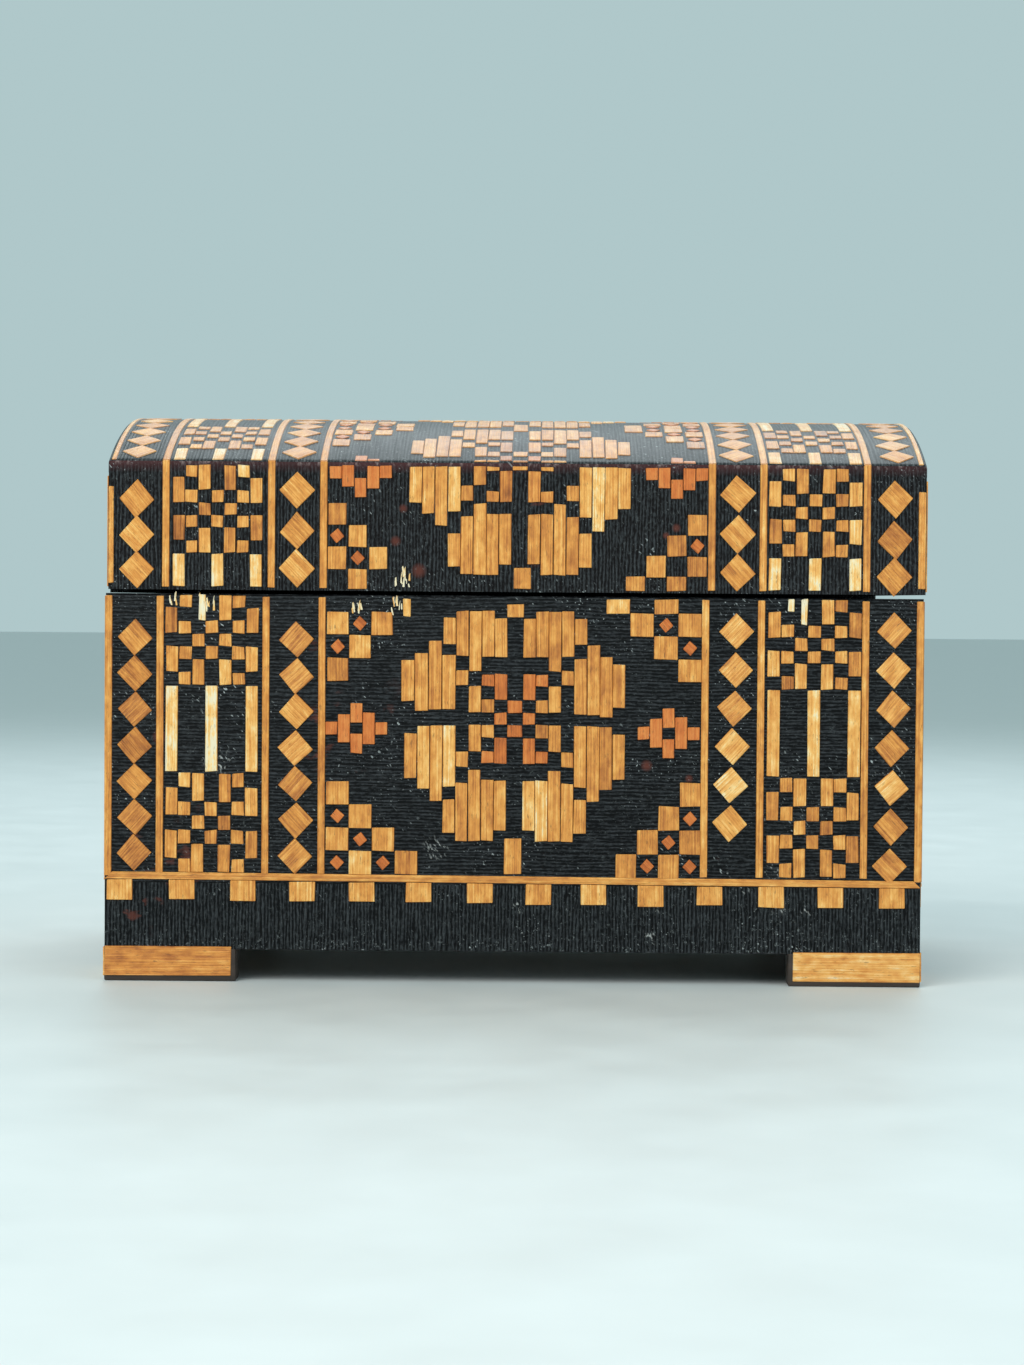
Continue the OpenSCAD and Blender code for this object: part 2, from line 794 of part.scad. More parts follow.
// Brass drum studded with one ring of pins for each comb tooth
pins_per_ring = 5;
module pin_cylinder() {
  color([0.8, 0.67, 0.38]) difference() {
    union() {
      bar_y(mov_x, axis_z, drum_y0, drum_y1, drum_r);
      for (i = [0 : tine_count - 1], k = [0 : pins_per_ring - 1])
        translate([mov_x, drum_y0 + 0.75 + (i + 0.5) * tine_pitch, axis_z])
          rotate([0, (i * 97 + k * 360 / pins_per_ring + 31 * ((i * k) % 4)) % 360 + 12, 0])
            translate([0, 0, drum_r - 0.5]) cylinder(h = pin_len + 0.5, r = 0.2, $fn = 16);
    }
    bar_y(mov_x, axis_z, drum_y0 - 1, drum_y1 + 1, drum_bore + 0.01);
  }
}

module cylinder_gear() {
  color([0.78, 0.64, 0.36]) difference() {
    translate([mov_x, gear_y0 + gear_t, axis_z]) rotate([90, 0, 0]) linear_extrude(gear_t)
      gear_2d(gear_n, 7.5, 8.35, 0.62, 0.3);
    bar_y(mov_x, axis_z, gear_y0 - 1, gear_y0 + gear_t + 1, drum_bore + 0.01);
  }
}

module train_pinion() {
  color([0.6, 0.62, 0.65]) {
    bar_y(train_x, axis_z, frame_y0 - 0.4, frame_y1 + 0.4, train_shaft_r);
    translate([train_x, gear_y0 + gear_t + 0.1, axis_z]) rotate([90, 0, 0])
      linear_extrude(gear_t + 0.2) gear_2d(train_n, 1.1, 1.92, 0.5, 0.24, 180 / train_n);
  }
}

module worm_wheel() {
  color([0.78, 0.64, 0.36]) difference() {
    translate([train_x, wheel_y0 + wheel_t, axis_z]) rotate([90, 0, 0]) linear_extrude(wheel_t)
      gear_2d(wheel_n, 4.3, 5.05, 0.5, 0.28);
    bar_y(train_x, axis_z, wheel_y0 - 1, wheel_y0 + wheel_t + 1, train_shaft_r + 0.01);
  }
}

// Shaft with one right-hand thread; its gap faces the worm wheel tooth
module governor_worm() {
  turns = 6;
  thread_len = turns * worm_lead;
  thread_arc = 100;
  steps = 6;
  tip = 1.92;
  color([0.62, 0.64, 0.67]) {
    post(worm_x, worm_y, bed_z + 0.3, shaft_top, worm_shaft_r);
    post(worm_x, worm_y, axis_z - thread_len / 2, axis_z + thread_len / 2, 1.15);
    translate([worm_x, worm_y, axis_z - thread_len / 2])
      linear_extrude(thread_len, twist = -turns * 360, slices = turns * 20, $fn = steps)
        polygon(concat([[0, 0]], [for (i = [0 : steps])
          let (a = 180 - thread_arc / 2 + i * thread_arc / steps) [tip * cos(a), tip * sin(a)]]));
  }
}

module governor_fan() {
  z0 = frame_top - 8.4;
  z1 = frame_top - 1.6;
  blade = 3.4;
  color([0.75, 0.77, 0.8]) difference() {
    union() {
      post(worm_x, worm_y, z0 - 0.6, z1, 1.1);
      block([worm_x - blade, worm_y - 0.2, z0], [worm_x + blade, worm_y + 0.2, z1]);
    }
    post(worm_x, worm_y, z0 - 2, z1 + 1, worm_shaft_r + 0.01);
  }
}

// ---------- movement: stop ----------

pad_h = 1.6;
module stop_pin() {
  color([0.66, 0.68, 0.7])
    post(worm_x, worm_y, shaft_top + 0.1 + pad_h, case_top + 1.3, stop_r);
}

module stop_pad() {
  color([0.25, 0.3, 0.22])
    post(worm_x, worm_y, shaft_top + 0.1, shaft_top + 0.1 + pad_h, 1.5);
}

plinth_front();
plinth_back();
plinth_left();
plinth_right();
bottom_board();
front_panel();
back_panel();
left_panel();
right_panel();
foot_front_left();
foot_front_right();
foot_back_left();
foot_back_right();
compartment_divider();
compartment_lining();
cover_cleats();
movement_cover();
hinge_leaf_case();
hinge_pins();
hinge_nails_case();
body_straw();
foot_straw();
lid_front();
lid_back();
lid_end_left();
lid_end_right();
lid_top();
lid_lining();
lid_stop_block();
hinge_leaf_lid();
hinge_nails_lid();
lid_straw();
bedplate();
comb_base();
comb();
comb_screws();
front_bearing();
rear_bearing();
governor_frame();
movement_screws();
spring_barrel();
barrel_cap();
mainspring();
winding_arbor();
winding_key();
ratchet_wheel();
click();
click_screw();
click_spring();
cylinder_arbor();
pin_cylinder();
cylinder_gear();
train_pinion();
worm_wheel();
governor_worm();
governor_fan();
stop_pin();
stop_pad();
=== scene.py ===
"""Straw-inlaid musical casket: the looks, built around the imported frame."""
import json
import math
import random
from functools import reduce

import bmesh
import bpy
from mathutils import Matrix, Vector


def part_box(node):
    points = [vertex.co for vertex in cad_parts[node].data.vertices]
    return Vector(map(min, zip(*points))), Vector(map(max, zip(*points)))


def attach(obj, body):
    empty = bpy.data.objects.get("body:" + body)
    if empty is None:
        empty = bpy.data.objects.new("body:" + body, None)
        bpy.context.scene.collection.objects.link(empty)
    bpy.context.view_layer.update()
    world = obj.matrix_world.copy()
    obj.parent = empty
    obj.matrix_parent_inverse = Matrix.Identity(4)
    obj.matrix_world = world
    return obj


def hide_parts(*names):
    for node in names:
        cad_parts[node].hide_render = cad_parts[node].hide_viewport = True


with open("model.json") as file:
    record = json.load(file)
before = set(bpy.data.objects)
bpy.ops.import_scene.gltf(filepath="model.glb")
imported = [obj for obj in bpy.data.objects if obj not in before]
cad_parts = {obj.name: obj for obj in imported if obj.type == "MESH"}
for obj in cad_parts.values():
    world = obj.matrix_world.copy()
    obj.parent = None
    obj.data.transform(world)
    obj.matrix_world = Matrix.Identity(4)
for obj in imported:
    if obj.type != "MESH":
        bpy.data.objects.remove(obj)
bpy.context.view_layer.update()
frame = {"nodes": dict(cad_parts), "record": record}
NODES = frame["nodes"]
MM = 0.001


# ----- sizes, in millimetres, some read from the frame -----

def box_mm(node):
    """Lowest and highest corner of a CAD node, in millimetres."""
    low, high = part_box(node)
    return low / MM, high / MM


front_lo, front_hi = box_mm("front_panel")
lid_lo, lid_hi = box_mm("lid_top")
lid_front_lo, lid_front_hi = box_mm("lid_front")
FRONT_Y = front_lo.y
BACK_Y = box_mm("back_panel")[1].y
MID_Y = (FRONT_Y + BACK_Y) / 2
HALF_D = (BACK_Y - FRONT_Y) / 2
CASE_X = (front_lo.x + front_hi.x) / 2
HALF_W = (front_hi.x - front_lo.x) / 2
LID_X = (lid_lo.x + lid_hi.x) / 2
CASE_TOP = front_hi.z
LID_Z = lid_front_lo.z
APEX_Z = lid_hi.z
CREASE_Z = 104.3
RISE = APEX_Z - CREASE_Z
ARC_R = (HALF_D ** 2 + RISE ** 2) / (2 * RISE)
ARC_Z = APEX_Z - ARC_R
ARC_HALF = math.asin(HALF_D / ARC_R)
ARC_LEN = 2 * ARC_R * ARC_HALF
TOP_T = 2.5
SKIRT_LINE_Z = 20.9
LINE_W = 1.5
STRAW_T = 0.22
STRAW_TOP = 0.245
RIB_PITCH = 0.72
RIB_TURNS = 2 * math.pi / (RIB_PITCH * MM)
HINGE_X, HINGE_ROOM = 48.0, 2.0
PATTERN_LOW = SKIRT_LINE_Z + LINE_W / 2 + 0.05
PATTERN_TOP = CASE_TOP - 0.5
CAMERA_PLACE = Vector((6.1, FRONT_Y - 625.3, 77.0))
CAMERA_TURN = (0.0106, 0.0265, 0.0077)
LENS = 82.57
LID_WALL = CREASE_Z - LID_Z


# ----- camera, floor and light -----

def look_matrix(place, yaw, pitch, roll):
    """World matrix of a camera that looks along +Y, turned left, down and rolled."""
    ahead = Vector((-math.sin(yaw) * math.cos(pitch), math.cos(yaw) * math.cos(pitch), -math.sin(pitch)))
    right = Vector((math.cos(yaw), math.sin(yaw), 0))
    up = right.cross(ahead)
    right_r = right * math.cos(roll) + up * math.sin(roll)
    up_r = up * math.cos(roll) - right * math.sin(roll)
    turn = Matrix((right_r, up_r, -ahead)).transposed().to_4x4()
    return Matrix.Translation(place) @ turn


def add(name, data):
    """A new object in the scene."""
    obj = bpy.data.objects.new(name, data)
    bpy.context.scene.collection.objects.link(obj)
    return obj


def add_camera():
    """A long lens at seam height, square to the front."""
    cam = add("camera", bpy.data.cameras.new("camera"))
    cam.data.sensor_width = 36
    cam.data.lens = LENS
    cam.data.clip_start = 0.02
    cam.matrix_world = look_matrix(CAMERA_PLACE * MM, *CAMERA_TURN)
    bpy.context.scene.camera = cam


def add_light(name, place, target, size, power, colour):
    """A square area light aimed at a point, all in metres."""
    lamp = bpy.data.lights.new(name, "AREA")
    lamp.size = size
    lamp.energy = power
    lamp.color = colour
    obj = add(name, lamp)
    obj.location = place
    obj.visible_camera = False
    obj.rotation_euler = (Vector(target) - Vector(place)).to_track_quat("-Z", "Y").to_euler()


def add_studio():
    """Plain pale floor, pale surroundings and soft lights."""
    bpy.ops.mesh.primitive_plane_add(size=12, location=(0, 0, 0))
    floor = bpy.context.object
    floor.name = "floor"
    floor.data.materials.append(material_floor())
    world = bpy.data.worlds.new("studio")
    world.use_nodes = True
    background = world.node_tree.nodes["Background"].inputs
    background["Color"].default_value = (0.60, 0.80, 0.82, 1)
    background["Strength"].default_value = 0.72
    bpy.context.scene.world = world
    bpy.context.scene.view_settings.view_transform = "Standard"
    add_light("key", (-0.45, -0.75, 0.75), (0, 0, 0.06), 0.7, 8.0, (1, 0.97, 0.93))
    add_light("fill", (0.75, -0.7, 0.35), (0, 0, 0.06), 0.8, 3.0, (0.95, 0.98, 1))
    add_light("top", (0.05, 0.55, 0.75), (0, 0, 0.1), 0.7, 4.0, (0.88, 0.96, 1))


# ----- material helpers -----

class Shade:
    """A node material under construction; each method adds one node and returns its output."""

    def __init__(self, name):
        self.mat = bpy.data.materials.new(name)
        self.mat.use_nodes = True
        self.tree = self.mat.node_tree
        self.bsdf = self.tree.nodes["Principled BSDF"]

    def node(self, kind, **settings):
        made = self.tree.nodes.new(kind)
        for key, value in settings.items():
            setattr(made, key, value)
        return made

    def link(self, source, target):
        self.tree.links.new(source, target)

    def put(self, made, **values):
        """Sets a node's inputs; an underscore in a name stands for a space."""
        for key, value in values.items():
            made.inputs[key.replace("_", " ")].default_value = value
        return made

    def feed(self, value, socket):
        """Gives a socket a number, a colour or another node's output."""
        if isinstance(value, (int, float)):
            socket.default_value = value
        elif isinstance(value, tuple):
            socket.default_value = (*value, 1)
        else:
            self.link(value, socket)

    def place(self):
        return self.node("ShaderNodeTexCoord").outputs["Object"]

    def attribute(self, name, output):
        return self.node("ShaderNodeAttribute", attribute_name=name).outputs[output]

    def mapped(self, place, **values):
        made = self.put(self.node("ShaderNodeMapping"), **values)
        self.link(place, made.inputs["Vector"])
        return made.outputs["Vector"]

    def noise(self, place, stretch, detail=3, rough=0.55, shift=(0, 0, 0), turn=None, warp=0.0):
        """Noise with stretch cells per metre, one number or one along each axis."""
        if turn:
            place = self.mapped(place, Rotation=turn)
        if not isinstance(stretch, tuple):
            stretch = (stretch,) * 3
        made = self.put(self.node("ShaderNodeTexNoise"), Scale=1, Detail=detail, Roughness=rough, Distortion=warp)
        self.link(self.mapped(place, Scale=stretch, Location=shift), made.inputs["Vector"])
        return made.outputs["Fac"]

    def ribs(self, place, turns, drift):
        """Soft ribs, 0 to 1: turns is radians per metre along each axis, drift moves them about."""
        made = self.node("ShaderNodeVectorMath", operation="DOT_PRODUCT")
        self.link(place, made.inputs[0])
        made.inputs[1].default_value = turns
        wave = self.math("SINE", self.plus(made.outputs["Value"], self.times(drift, 14.0)))
        return self.remap(wave, -1.0, 1.0)

    def near_spots(self, place, spots):
        """Fades from 1 inside each round spot (x, z, radius, in millimetres on the front) to 0 outside it."""
        total = None
        for x, z, radius in spots:
            made = self.node("ShaderNodeVectorMath", operation="DISTANCE")
            self.link(place, made.inputs[0])
            made.inputs[1].default_value = Vector((x, FRONT_Y, z)) * MM
            share = self.remap(made.outputs["Value"], radius * MM, 0.3 * radius * MM)
            total = share if total is None else self.math("MAXIMUM", total, share)
        return total

    def math(self, kind, a, b=0.0):
        made = self.node("ShaderNodeMath", operation=kind)
        self.feed(a, made.inputs[0])
        self.feed(b, made.inputs[1])
        return made.outputs["Value"]

    def plus(self, *parts):
        return reduce(lambda a, b: self.math("ADD", a, b), parts)

    def times(self, *parts):
        return reduce(lambda a, b: self.math("MULTIPLY", a, b), parts)

    def remap(self, value, low, high, to_low=0.0, to_high=1.0):
        made = self.put(self.node("ShaderNodeMapRange"), From_Min=low, From_Max=high, To_Min=to_low, To_Max=to_high)
        self.link(value, made.inputs["Value"])
        return made.outputs["Result"]

    def ramp(self, value, stops):
        made = self.node("ShaderNodeValToRGB")
        line = made.color_ramp
        while len(line.elements) < len(stops):
            line.elements.new(0.5)
        for element, (spot, colour) in zip(line.elements, stops):
            element.position = spot
            element.color = (*colour, 1)
        self.link(value, made.inputs["Fac"])
        return made.outputs["Color"]

    def mix(self, share, a, b):
        made = self.node("ShaderNodeMix", data_type="RGBA")
        for value, socket in ((share, 0), (a, 6), (b, 7)):
            self.feed(value, made.inputs[socket])
        return made.outputs[2]

    def bump(self, height, strength, distance):
        made = self.put(self.node("ShaderNodeBump"), Strength=strength, Distance=distance)
        self.link(height, made.inputs["Height"])
        return made.outputs["Normal"]

    def surface(self, colour=None, rough=None, normal=None, **fixed):
        for value, socket in ((colour, "Base Color"), (rough, "Roughness"), (normal, "Normal")):
            if value is not None:
                self.link(value, self.bsdf.inputs[socket])
        self.put(self.bsdf, **fixed)
        return self.mat


def material_floor():
    s = Shade("floor_paint")
    speck = s.noise(s.place(), 40, 3)
    colour = s.ramp(speck, [(0.3, (0.60, 0.64, 0.64)), (0.7, (0.64, 0.68, 0.68))])
    return s.surface(colour, s.remap(speck, 0.3, 0.7, 0.45, 0.55))


def material_straw(name="split_straw", dust_and_sheen=0.0):
    """Split straw: silky fibres along each piece, a tone of its own, some pieces dyed red; the second argument adds a
    pale film of dust and painted sheen.
    """
    s = Shade(name)
    spot = s.attribute("straw_spot", "Vector")
    # Each straw's own tone, plus a painted highlight on its left and top edges and a painted shade on its right and
    # bottom edges
    tone = s.attribute("straw_tone_painted_edges", "Fac")
    red = s.attribute("straw_red", "Fac")
    fibre = s.noise(spot, (9.0, 0.13, 9.1), 5, 0.65)
    ridge = s.noise(spot, (3.0, 0.04, 5.3), 2, 0.5)
    blotch = s.noise(spot, (0.60, 0.30, 3.7), 4, 0.6)
    shade = s.plus(tone, s.remap(fibre, 0.25, 0.75, -0.18, 0.18), s.remap(ridge, 0.3, 0.7, -0.15, 0.15),
                   s.remap(blotch, 0.3, 0.7, -0.18, 0.18))
    gold = s.ramp(shade, [(0.0, (0.19, 0.054, 0.011)), (0.25, (0.44, 0.145, 0.026)),
                          (0.52, (0.70, 0.282, 0.052)), (0.76, (0.87, 0.455, 0.118)),
                          (0.9, (0.93, 0.65, 0.28)), (1.0, (0.84, 0.74, 0.52))])
    dyed = s.ramp(shade, [(0.0, (0.20, 0.034, 0.007)), (0.5, (0.60, 0.155, 0.026)),
                          (1.0, (0.80, 0.31, 0.075))])
    colour = s.mix(red, gold, dyed)
    fleck = s.remap(s.noise(spot, (3.6, 0.50, 7.7), 4, 0.7), 0.60, 0.67)
    colour = s.mix(s.times(fleck, 0.65), colour, (0.15, 0.062, 0.020))
    if dust_and_sheen:
        # A pale pinkish film: part dust, part painted sheen, the reflection of the pale surroundings on the bent top
        dust_and_sheen_film = s.noise(s.place(), 160, 4, 0.6)
        colour = s.mix(s.remap(dust_and_sheen_film, 0.3, 0.7, 0.4 * dust_and_sheen, 1.6 * dust_and_sheen), colour, (0.56, 0.39, 0.30))
    height = s.plus(s.times(fibre, 0.8), ridge)
    rough = s.remap(fibre, 0.3, 0.7, 0.34, 0.52)
    return s.surface(colour, rough, s.bump(height, 0.9, 0.00016), Coat_Weight=0.08,
                     Coat_Roughness=0.25, Specular_IOR_Level=0.35)


def material_lacquer(name, lines, base=(0.0016, 0.0021, 0.0027), shine=(0.40, 0.62), dust_and_sheen_haze=0.0,
                     lit=(0.043, 0.049, 0.053), lint=(), scuffs=(), crease=False):
    """Black lacquer over fine-grained board; lines is the grain's spacing along X, Y and Z."""
    s = Shade(name)
    spot = s.place()
    grain = s.noise(spot, lines, 3, 0.6)
    thread = s.noise(spot, tuple(v * 2.3 for v in lines), 2, 0.5, shift=(3, 5, 7))
    cloud = s.noise(spot, 22, 4, 0.55)
    weave = s.noise(spot, 1500, 2, 0.6, shift=(9, 2, 4))
    turns = tuple(0.0 if v < max(lines) else RIB_TURNS for v in lines)
    rib = s.ribs(spot, turns, s.noise(spot, tuple(v * 0.12 for v in lines), 2, shift=(2, 6, 1)))
    fibres = s.plus(s.times(thread, 0.35), s.times(grain, 0.33), s.times(weave, 0.20), s.times(rib, 0.12))
    colour = s.mix(s.remap(fibres, 0.46, 0.64), base, lit)
    worn = s.remap(s.noise(spot, (150, 150, 230), 4, 0.65), 0.60, 0.68)
    patch = s.remap(s.noise(spot, 30, 3, shift=(5, 2, 8)), 0.60, 0.67)
    wear = s.times(worn, patch, 0.8)
    if scuffs:
        rubbed = s.times(s.near_spots(spot, scuffs), s.remap(cloud, 0.3, 0.5))
        wear = s.math("MAXIMUM", wear, rubbed)
    colour = s.mix(wear, colour, (0.095, 0.030, 0.022))
    split = s.node("ShaderNodeSeparateXYZ")
    s.link(spot, split.inputs["Vector"])
    level = split.outputs["Z"]
    scratch = s.noise(spot, (700, 700, 260), 4, 0.7, shift=(1, 8, 3))
    if crease:
        band = s.remap(level, (CREASE_Z - 2.4) * MM, (CREASE_Z - 0.4) * MM)
        colour = s.mix(s.times(band, s.remap(cloud, 0.35, 0.55, 0.35, 0.95)), colour, (0.055, 0.019, 0.020))
        rim = s.remap(level, (CREASE_Z - 1.1) * MM, (CREASE_Z + 0.1) * MM)
        colour = s.mix(s.times(rim, s.remap(scratch, 0.52, 0.62, 0.0, 0.6)), colour, (0.36, 0.28, 0.27))
    # Dust specks over a cloudy haze; where the haze is heavy, on the bent top, it is also painted sheen
    dust = s.remap(s.noise(spot, 1300, 3, 0.8), 0.60, 0.74)
    haze = s.plus(s.remap(cloud, 0.38, 0.7, 0.0, 0.22), dust_and_sheen_haze)
    settled = s.remap(level, 0.0105, 0.0068, 0.0, 0.5)
    colour = s.mix(s.times(dust, s.plus(haze, settled)), colour, (0.34, 0.38, 0.38))
    if lint:
        hairs = s.noise(spot, (1900, 1900, 800), 3, 0.6, shift=(3, 1, 5), turn=(0.3, 0.5, 0.2))
        fluff = s.times(s.near_spots(spot, lint), s.remap(hairs, 0.56, 0.66, 0.0, 0.6))
        colour = s.mix(fluff, colour, (0.55, 0.57, 0.55))
    for turn, stretch, shift in (
            ((0.5, 0.7, 0.3), (2300, 2300, 110), 2.0), ((-0.6, 0.4, 0.9), (90, 2600, 2600), 7.0),
            ((0.2, -0.8, 0.5), (2500, 100, 2500), 4.0)):
        hair = s.remap(s.noise(spot, stretch, 1, shift=(shift, shift, shift), turn=turn), 0.69, 0.76)
        where = s.remap(s.noise(spot, 60, 3, shift=(shift, 1, 4)), 0.53, 0.64)
        colour = s.mix(s.times(hair, where, 0.8), colour, (0.42, 0.46, 0.46))
    rough = s.remap(s.plus(grain, s.times(cloud, 0.6)), 0.5, 1.1, *shine)
    relief = s.plus(grain, s.times(thread, 0.5), s.times(rib, 0.25))
    return s.surface(colour, rough, s.bump(relief, 0.7, 0.00018), Specular_IOR_Level=0.10)


def material_wood(name, dark, light, lines):
    """Plain or stained board with long grain."""
    s = Shade(name)
    spot = s.place()
    grain = s.noise(spot, lines, 5, 0.6, warp=0.3)
    pores = s.noise(spot, tuple(v * 5 for v in lines), 3, 0.6)
    value = s.plus(s.times(grain, 0.75), s.times(pores, 0.25))
    colour = s.ramp(value, [(0.35, dark), (0.65, light)])
    return s.surface(colour, s.remap(pores, 0.3, 0.7, 0.5, 0.7), s.bump(value, 0.4, 0.0002))


def material_metal(name, dark, light, rough):
    """Brushed or polished metal with a little tarnish."""
    s = Shade(name)
    spot = s.place()
    brush = s.noise(spot, (300, 900, 300), 3, 0.5)
    cloud = s.noise(spot, 160, 5, 0.6)
    colour = s.ramp(cloud, [(0.32, dark), (0.58, light)])
    shine = s.plus(s.remap(brush, 0.3, 0.7, -0.06, 0.08), s.remap(cloud, 0.3, 0.7, rough + 0.1, rough - 0.05))
    return s.surface(colour, shine, s.bump(brush, 0.12, 0.00005), Metallic=1.0)


def material_felt(name, dark, light):
    """Short-napped felt."""
    s = Shade(name)
    spot = s.place()
    nap = s.noise(spot, 1500, 3, 0.7)
    cloud = s.noise(spot, 130, 4, 0.6)
    value = s.plus(s.times(nap, 0.7), s.times(cloud, 0.3))
    colour = s.ramp(value, [(0.35, dark), (0.65, light)])
    return s.surface(colour, s.remap(nap, 0.3, 0.7, 0.8, 0.98), s.bump(nap, 0.6, 0.0003),
                     Sheen_Weight=0.22, Sheen_Roughness=0.5)


def material_clear():
    """Clear sheet with faint scuffs."""
    s = Shade("clear_sheet")
    scuff = s.noise(s.place(), (70, 500, 70), 4, 0.6)
    tint = s.ramp(scuff, [(0.3, (0.90, 0.95, 0.96)), (0.7, (0.97, 0.99, 1.0))])
    return s.surface(tint, s.remap(scuff, 0.45, 0.75, 0.01, 0.04), s.bump(scuff, 0.03, 0.00003),
                     Transmission_Weight=0.97, IOR=1.49)


# ----- unrolled faces -----

class Flat:
    """An upright plane face; u runs along the face and v up it, in millimetres."""

    step = 40.0
    up = Vector((0, 0, 1))

    def __init__(self, corner, along):
        self.corner = Vector(corner)
        self.along = Vector(along)
        self.out = self.along.cross(self.up)

    def at(self, u, v, w):
        return (self.corner + self.along * u + self.up * v + self.out * w) * MM


class Bent:
    """The barrel top of the lid; v is the length along the arc from the front crease."""

    step = 1.8

    def at(self, u, v, w):
        angle = v / ARC_R - ARC_HALF
        reach = ARC_R + w
        return Vector((LID_X + u, MID_Y + reach * math.sin(angle), ARC_Z + reach * math.cos(angle))) * MM


def four_faces(x, left, right, z):
    """Front, back, left and right face of a box; v is measured from z."""
    return (Flat((x, FRONT_Y, z), (1, 0, 0)), Flat((x, BACK_Y, z), (-1, 0, 0)),
            Flat((left, MID_Y, z), (0, -1, 0)), Flat((right, MID_Y, z), (0, 1, 0)))


CASE_FRONT, CASE_BACK, CASE_LEFT, CASE_RIGHT = four_faces(CASE_X, front_lo.x, front_hi.x, 0)
LID_FRONT, LID_BACK, LID_LEFT, LID_RIGHT = four_faces(LID_X, lid_lo.x, lid_hi.x, LID_Z)
LID_TOP = Bent()


def hang(name, mesh, body, slot, *nodes):
    """Puts a mesh on a body, in place of CAD nodes if any are named."""
    obj = add(name, mesh)
    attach(obj, body)
    if nodes:
        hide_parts(*nodes)
    return obj


# ----- straw pieces -----

# A straw's edge lies below the face and its rim below its middle; its left and top edges get a painted highlight, its
# right and bottom edges a painted shade
EDGE_SUNK, RIM_DROP = -0.05, 0.045
LEFT_PAINTED_LIGHT, RIGHT_PAINTED_SHADE, TOP_PAINTED_LIGHT, LOW_PAINTED_SHADE = 0.06, -0.42, 0.22, -0.12
RIM_ACROSS, RIM_ALONG = 0.14, 0.10


